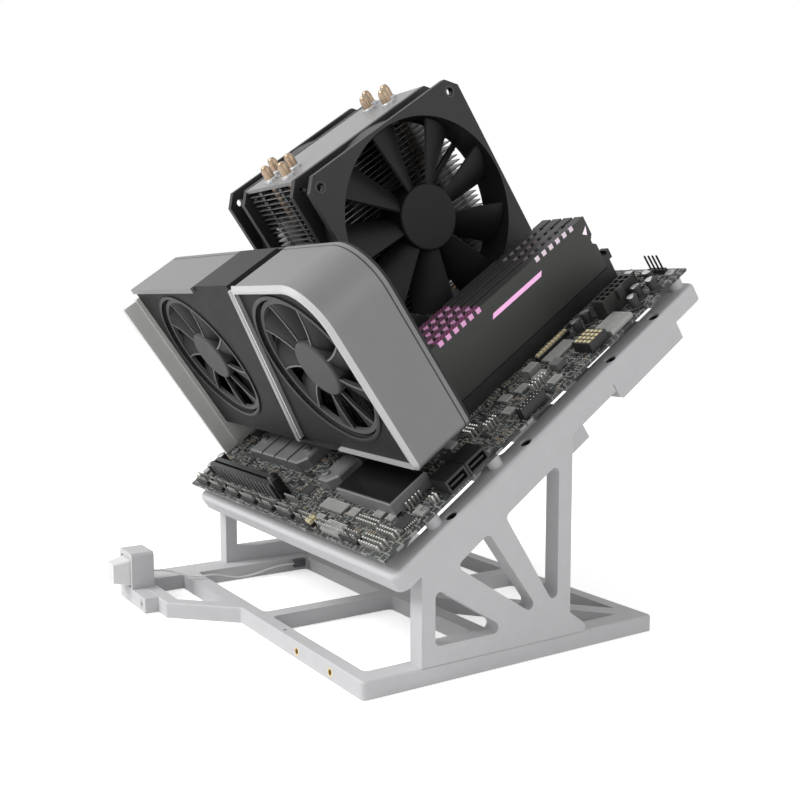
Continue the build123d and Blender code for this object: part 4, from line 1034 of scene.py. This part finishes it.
margins = scatter["margins"]
for name in scatter["standing"]:
    mesh = nodes[name].data
    spots = [toSlope @ vertex.co * toMm for vertex in mesh.vertices]
    for polygon in mesh.polygons:
        corners = [spots[i] for i in polygon.vertices]
        xs, ss = [c.x for c in corners], [c.y for c in corners]
        edge = margins["solid"]
        take(min(xs) - edge, max(xs) + edge, min(ss) - edge, max(ss) + edge)
for x, s in coil["spots"] + list(can["extra"]):
    takeRound(x, s, 0, 0, margins["coil"])
for x, s, turn in shield["spots"]:
    takeRound(x, s, 0, 0, margins["shield"])
for x, s, width, length in chip["spots"]:
    takeRound(x, s, width, length, margins["chip"])
for x, s, width, length, height in panel["spots"]:
    takeRound(x, s, width, length, margins["panel"])
for area in scatter["clear"]:
    take(*area)
dice = random.Random(scatter["seed"])
found = {"ceramic": [], "resistor": [], "regulator": []}
(lowX, highX), (lowS, highS) = scatter["x"], scatter["s"]
for attempt in range(scatter["tries"]):
    x = dice.uniform(lowX, highX)
    s = dice.uniform(lowS, highS)
    along = dice.random() < 0.5
    kind = dice.choice(scatter["kinds"])
    for step in range(dice.randint(*scatter["rows"])):
        a = x + (0 if along else step * scatter["pitch"])
        b = s + (step * scatter["pitch"] if along else 0)
        if not (lowX - scatter["past"] < a < highX + scatter["past"] and lowS < b < highS + scatter["past"]):
            break
        cellX, cellS = math.floor(a), math.floor(b)
        if {(cellX + i, cellS + j) for i in (-1, 0, 1) for j in (-1, 0, 1)} & taken:
            break
        taken |= {(cellX + i, cellS + j) for i in (-1, 0) for j in (-1, 0)}
        found[kind].append(at(a, b, boardTop, 0 if along else 90))

# two-ended parts: length, width and height, material of the middle, slot
small = {
    "ceramic": ((1.9, 1.05, 0.8), ceramic, "bright_steel"),
    "resistor": ((1.9, 1.05, 0.5), finishes["chip_black"], "chip_black"),
    "endFrom": 0.5,
}
for kind in ("ceramic", "resistor"):
    size, middle, slotName = small[kind]
    part = standBlock(kind + "Parts", size)
    for x in (-small["endFrom"], small["endFrom"]):
        sliceAt(part, (x, 0, 0), (1, 0, 0))
    paint(part, middle, tin)
    paintFaces(part, 1, lambda n, c: abs(c.x) > small["endFrom"])
    settle(part, slotName, found[kind])
regulator = {
    "size": (2.2, 1.5, 0.95), "middle": 0.5, "leg": (0.4, 0.6, 0.2),
    "legs": ((-0.7, 0.95), (0.7, 0.95), (0, -0.95)),
}
part = addBlock("smallRegulators", regulator["size"], (0, 0, regulator["middle"]))
pickFaces(part, upwards)
shrink(0.85, 0.85, 1)
leaveEdit()
for x, y in regulator["legs"]:
    joinTo(part, addBlock("leg", regulator["leg"], (x, y, regulator["leg"][2] / 2)))
paint(part, finishes["chip_black"], tin)
paintFaces(part, 1, lambda n, c: c.z < 0.22 and abs(c.y) > 0.64)
settle(part, "chip_black", found["regulator"])
print("small parts", {kind: len(places) for kind, places in found.items()})

# solder points under the board: slots, memory sockets and headers
solder = {
    "radius": 0.75, "height": 0.5, "cone": (0.7, 0.35),
    "slotFirst": 3, "slotPitch": 2.1, "slotCount": 40, "slotHalf": 1.5,
    "moduleFirst": 92, "modulePitch": 2.2, "moduleCount": 60, "moduleHalf": 1.6,
}
points = standRound("solderPoints", solder["radius"], solder["height"], 6)
drawTop(points, solder["cone"])
paint(points, tin)
spots = [
    (slots["left"] + solder["slotFirst"] + solder["slotPitch"] * i, row + side * solder["slotHalf"])
    for i in range(solder["slotCount"]) for row in slots["rows"] for side in bothSides
]
spots += [
    (x + side * solder["moduleHalf"], solder["moduleFirst"] + solder["modulePitch"] * i)
    for x in module["x"] for i in range(solder["moduleCount"]) for side in bothSides
]
spots += [
    (edgeHeader["first"] + edgeHeader["apart"] * header + (i - 3) * pin["pitch"],
     edgeHeader["row"] + side * pin["pitch"] / 2)
    for header in range(edgeHeader["count"]) for i in range(edgeHeader["pins"]) for side in bothSides
]
settle(points, "bright_steel", [at(x, s, boardUnder) @ flip for x, s in spots])

# nuts on the plate behind the processor
nut = {"radius": 3.4, "height": 2.2, "bore": 1.6, "halfX": 27, "halfS": 39, "plate": 2}
nuts = standRound("plateNuts", nut["radius"], nut["height"], 6)
cutOut(nuts, addRound("bore", nut["bore"], 8, (0, 0, 0), 16))
roundEdges(nuts, 0.3, 1)
settle(nuts, "bright_steel", [
    at(cooler["x"] + i * nut["halfX"], cooler["s"] + j * nut["halfS"], boardUnder - nut["plate"]) @ flip
    for i in bothSides for j in bothSides
])

# fin stack: folded tabs on both narrow sides
tab = {"size": (3.6, 0.5, 2.5), "middle": 1.55, "columns": (-13, 13), "proud": 0.2, "rim": 0.35, "sunk": 0.18}
tabs = addBlock("finTabs", tab["size"], (0, 0, tab["middle"]))
pickFaces(tabs, lambda n, c: n.y < -0.9)
inset(tab["rim"])
slide(0, tab["sunk"], 0)
leaveEdit()
paint(tabs, finTab)
places = []
for level in range(cooler["finCount"] - 1):
    n = cooler["finBottom"] + level * cooler["finPitch"]
    for column in tab["columns"]:
        for side in bothSides:
            s = cooler["s"] + side * (cooler["finWidth"] / 2 + tab["proud"])
            places.append(at(cooler["x"] + column, s, n, 0 if side < 0 else 180))
settle(tabs, "dark_fin", places)

# heat pipe ends: drawn noses, each in a short collar on the cap
pipe = {
    "pitch": 11, "count": 4, "low": (35, 47), "high": (46, 36), "radius": 3.08, "straight": 6.4,
    "nose": ((1.3, 0.93), (1.2, 0.86), (0.8, 0.78), (0.25, 0.8)), "collar": 4.2, "collarHeight": 1.6,
    "collarRim": 0.5, "collarTop": (0.6, 0.9),
}
places = []
for number in range(pipe["count"]):
    x = cooler["x"] + (number - 1.5) * pipe["pitch"]
    for s in (-pipe["low"][number % 2], pipe["high"][number % 2]):
        places.append(at(x, cooler["s"] + s, cooler["capTop"]))
noses = standRound("pipeNoses", pipe["radius"], pipe["straight"], 20)
drawTop(noses, *pipe["nose"])
smooth(noses)
settle(noses, "copper", places)
collars = standRound("pipeCollars", pipe["collar"], pipe["collarHeight"], 20)
pickFaces(collars, upwards)
inset(pipe["collarRim"])
rise, share = pipe["collarTop"]
extrude(0, 0, rise)
shrink(share, share, 1)
leaveEdit()
smooth(collars)
settle(collars, "bare_aluminium", places)

# raised rims round the fan frames' corner holes
holeRim = {"radius": 3.1, "wire": 0.4, "faces": (20, -91), "axis": 104, "half": 52.5, "flatten": 0.6}
bpy.ops.object.select_all(action="DESELECT")
bpy.ops.mesh.primitive_torus_add(
    major_radius=holeRim["radius"] * mm, minor_radius=holeRim["wire"] * mm,
    major_segments=24, minor_segments=6,
)
rims = bpy.context.object
rims.name = "fanHoleRims"
pickFaces(rims, everyFace)
shrink(1, 1, holeRim["flatten"])
leaveEdit()
paint(rims, fanRim)
settle(rims, "fan_black", [
    at(x, cooler["s"] + i * holeRim["half"], holeRim["axis"] + j * holeRim["half"]) @ acrossX
    for x in holeRim["faces"] for i in bothSides for j in bothSides
])
print("cooler dressed")

# card: dark rims round the fan openings
card = {"fans": (67.5, -70), "axis": 94.5, "front": 33.5, "blades": 34, "back": 71}
opening = {"outer": 45.6, "inner": 43.3, "height": 0.9}
rings = standRound("cardFanRims", opening["outer"], opening["height"], 72)
cutOut(rings, addRound("mouth", opening["inner"], 4, (0, 0, 0), 72))
roundEdges(rings, 0.25)
smooth(rings)
settle(rings, "fan_black", [at(x, card["front"], card["axis"]) @ facingDown for x in card["fans"]])
# pale trim along the leaning bar of the bezel, foot and head in x and n
trim = {"width": 4.4, "depth": 2.1, "s": 32.35, "foot": (-12.2, 38.2), "head": (30.8, 144.6)}
(footX, footN), (headX, headN) = trim["foot"], trim["head"]
trimBar = addBlock("leaningTrim", (trim["width"], trim["depth"], 1), (footX, trim["s"], footN))
pickFaces(trimBar, upwards)
extrude(headX - footX, 0, headN - footN - 1)
leaveEdit()
roundEdges(trimBar, 0.5)
paint(trimBar, trimSilver)
settle(trimBar, "card_silver")

# front edges of the card rotors' blades, bowed strips that turn with them, painted pale as a highlight along
# each edge
edgeStrip = {
    "start": (16.04, 5.85, -1.2), "lean": 27.9, "step": 5.65, "width": 0.9, "height": 0.5,
    "bows": (-0.3, 0.3, 0.9), "count": 9,
}
for side, x in zip(("right", "left"), card["fans"]):
    size = (edgeStrip["step"], edgeStrip["width"], edgeStrip["height"])
    strips = addBlock(side + "BladeEdgeHighlights", size, (edgeStrip["step"] / 2, 0, 0))
    pickFaces(strips, lambda n, c: n.x > 0.9)
    slide(0, -edgeStrip["width"], 0)
    for bow in edgeStrip["bows"]:
        extrude(edgeStrip["step"], bow, 0)
    leaveEdit()
    paint(strips, bladeHighlight)
    outward = at(*edgeStrip["start"], edgeStrip["lean"])
    turns = [Matrix.Rotation(2 * math.pi * i / edgeStrip["count"], 4, "Z") for i in range(edgeStrip["count"])]
    places = [at(x, card["blades"], card["axis"]) @ facingDown @ turn @ outward for turn in turns]
    settle(strips, "rotor_grey", places, body="card_" + side + "_fan")
# screws on the card's back plate
backScrew = {"radius": 2, "height": 1, "x": (-112, -40, 30, 88), "n": (46, 136)}
screws = makePanHead("cardBackScrews", backScrew["radius"], backScrew["height"])
places = [at(x, card["back"], n) @ facingBack for x in backScrew["x"] for n in backScrew["n"]]
settle(screws, "dark_steel", places)

# tongues with contacts inside the rear ports: middle s, length, height, mouths one over another
port = {
    "x": -118.5, "depth": 9, "wall": 1.5, "ends": 6, "tongue": 1.8, "rise": 0.55, "rim": 0.18, "lip": 0.08,
    "shells": (
        (96, 24, 30, 2), (126, 16, 22, 2), (147, 14, 20, 2), (167, 16, 16, 1),
        (188, 15, 12, 1), (209, 16, 20, 2),
    ),
}
tongues = addBlock("portTongues", (1, 1, 1))
pickFaces(tongues, lambda n, c: n.x < -0.9)
inset(port["rim"])
extrude(-port["lip"], 0, 0)
leaveEdit()
paint(tongues, finishes["black_nylon"], goldPin)
paintFaces(tongues, 1, lambda n, c: n.z > 0.9 and c.x < -0.1)
places = []
for s, length, height, mouths in port["shells"]:
    mouth = (height - port["wall"]) / mouths - port["wall"]
    for level in range(mouths):
        middle = boardTop + port["wall"] + level * (mouth + port["wall"]) + mouth * port["rise"]
        size = Matrix.Diagonal((port["depth"], length - port["ends"], port["tongue"], 1))
        places.append(at(port["x"], s, middle) @ size)
settle(tongues, "black_nylon", places)
print("ports dressed")
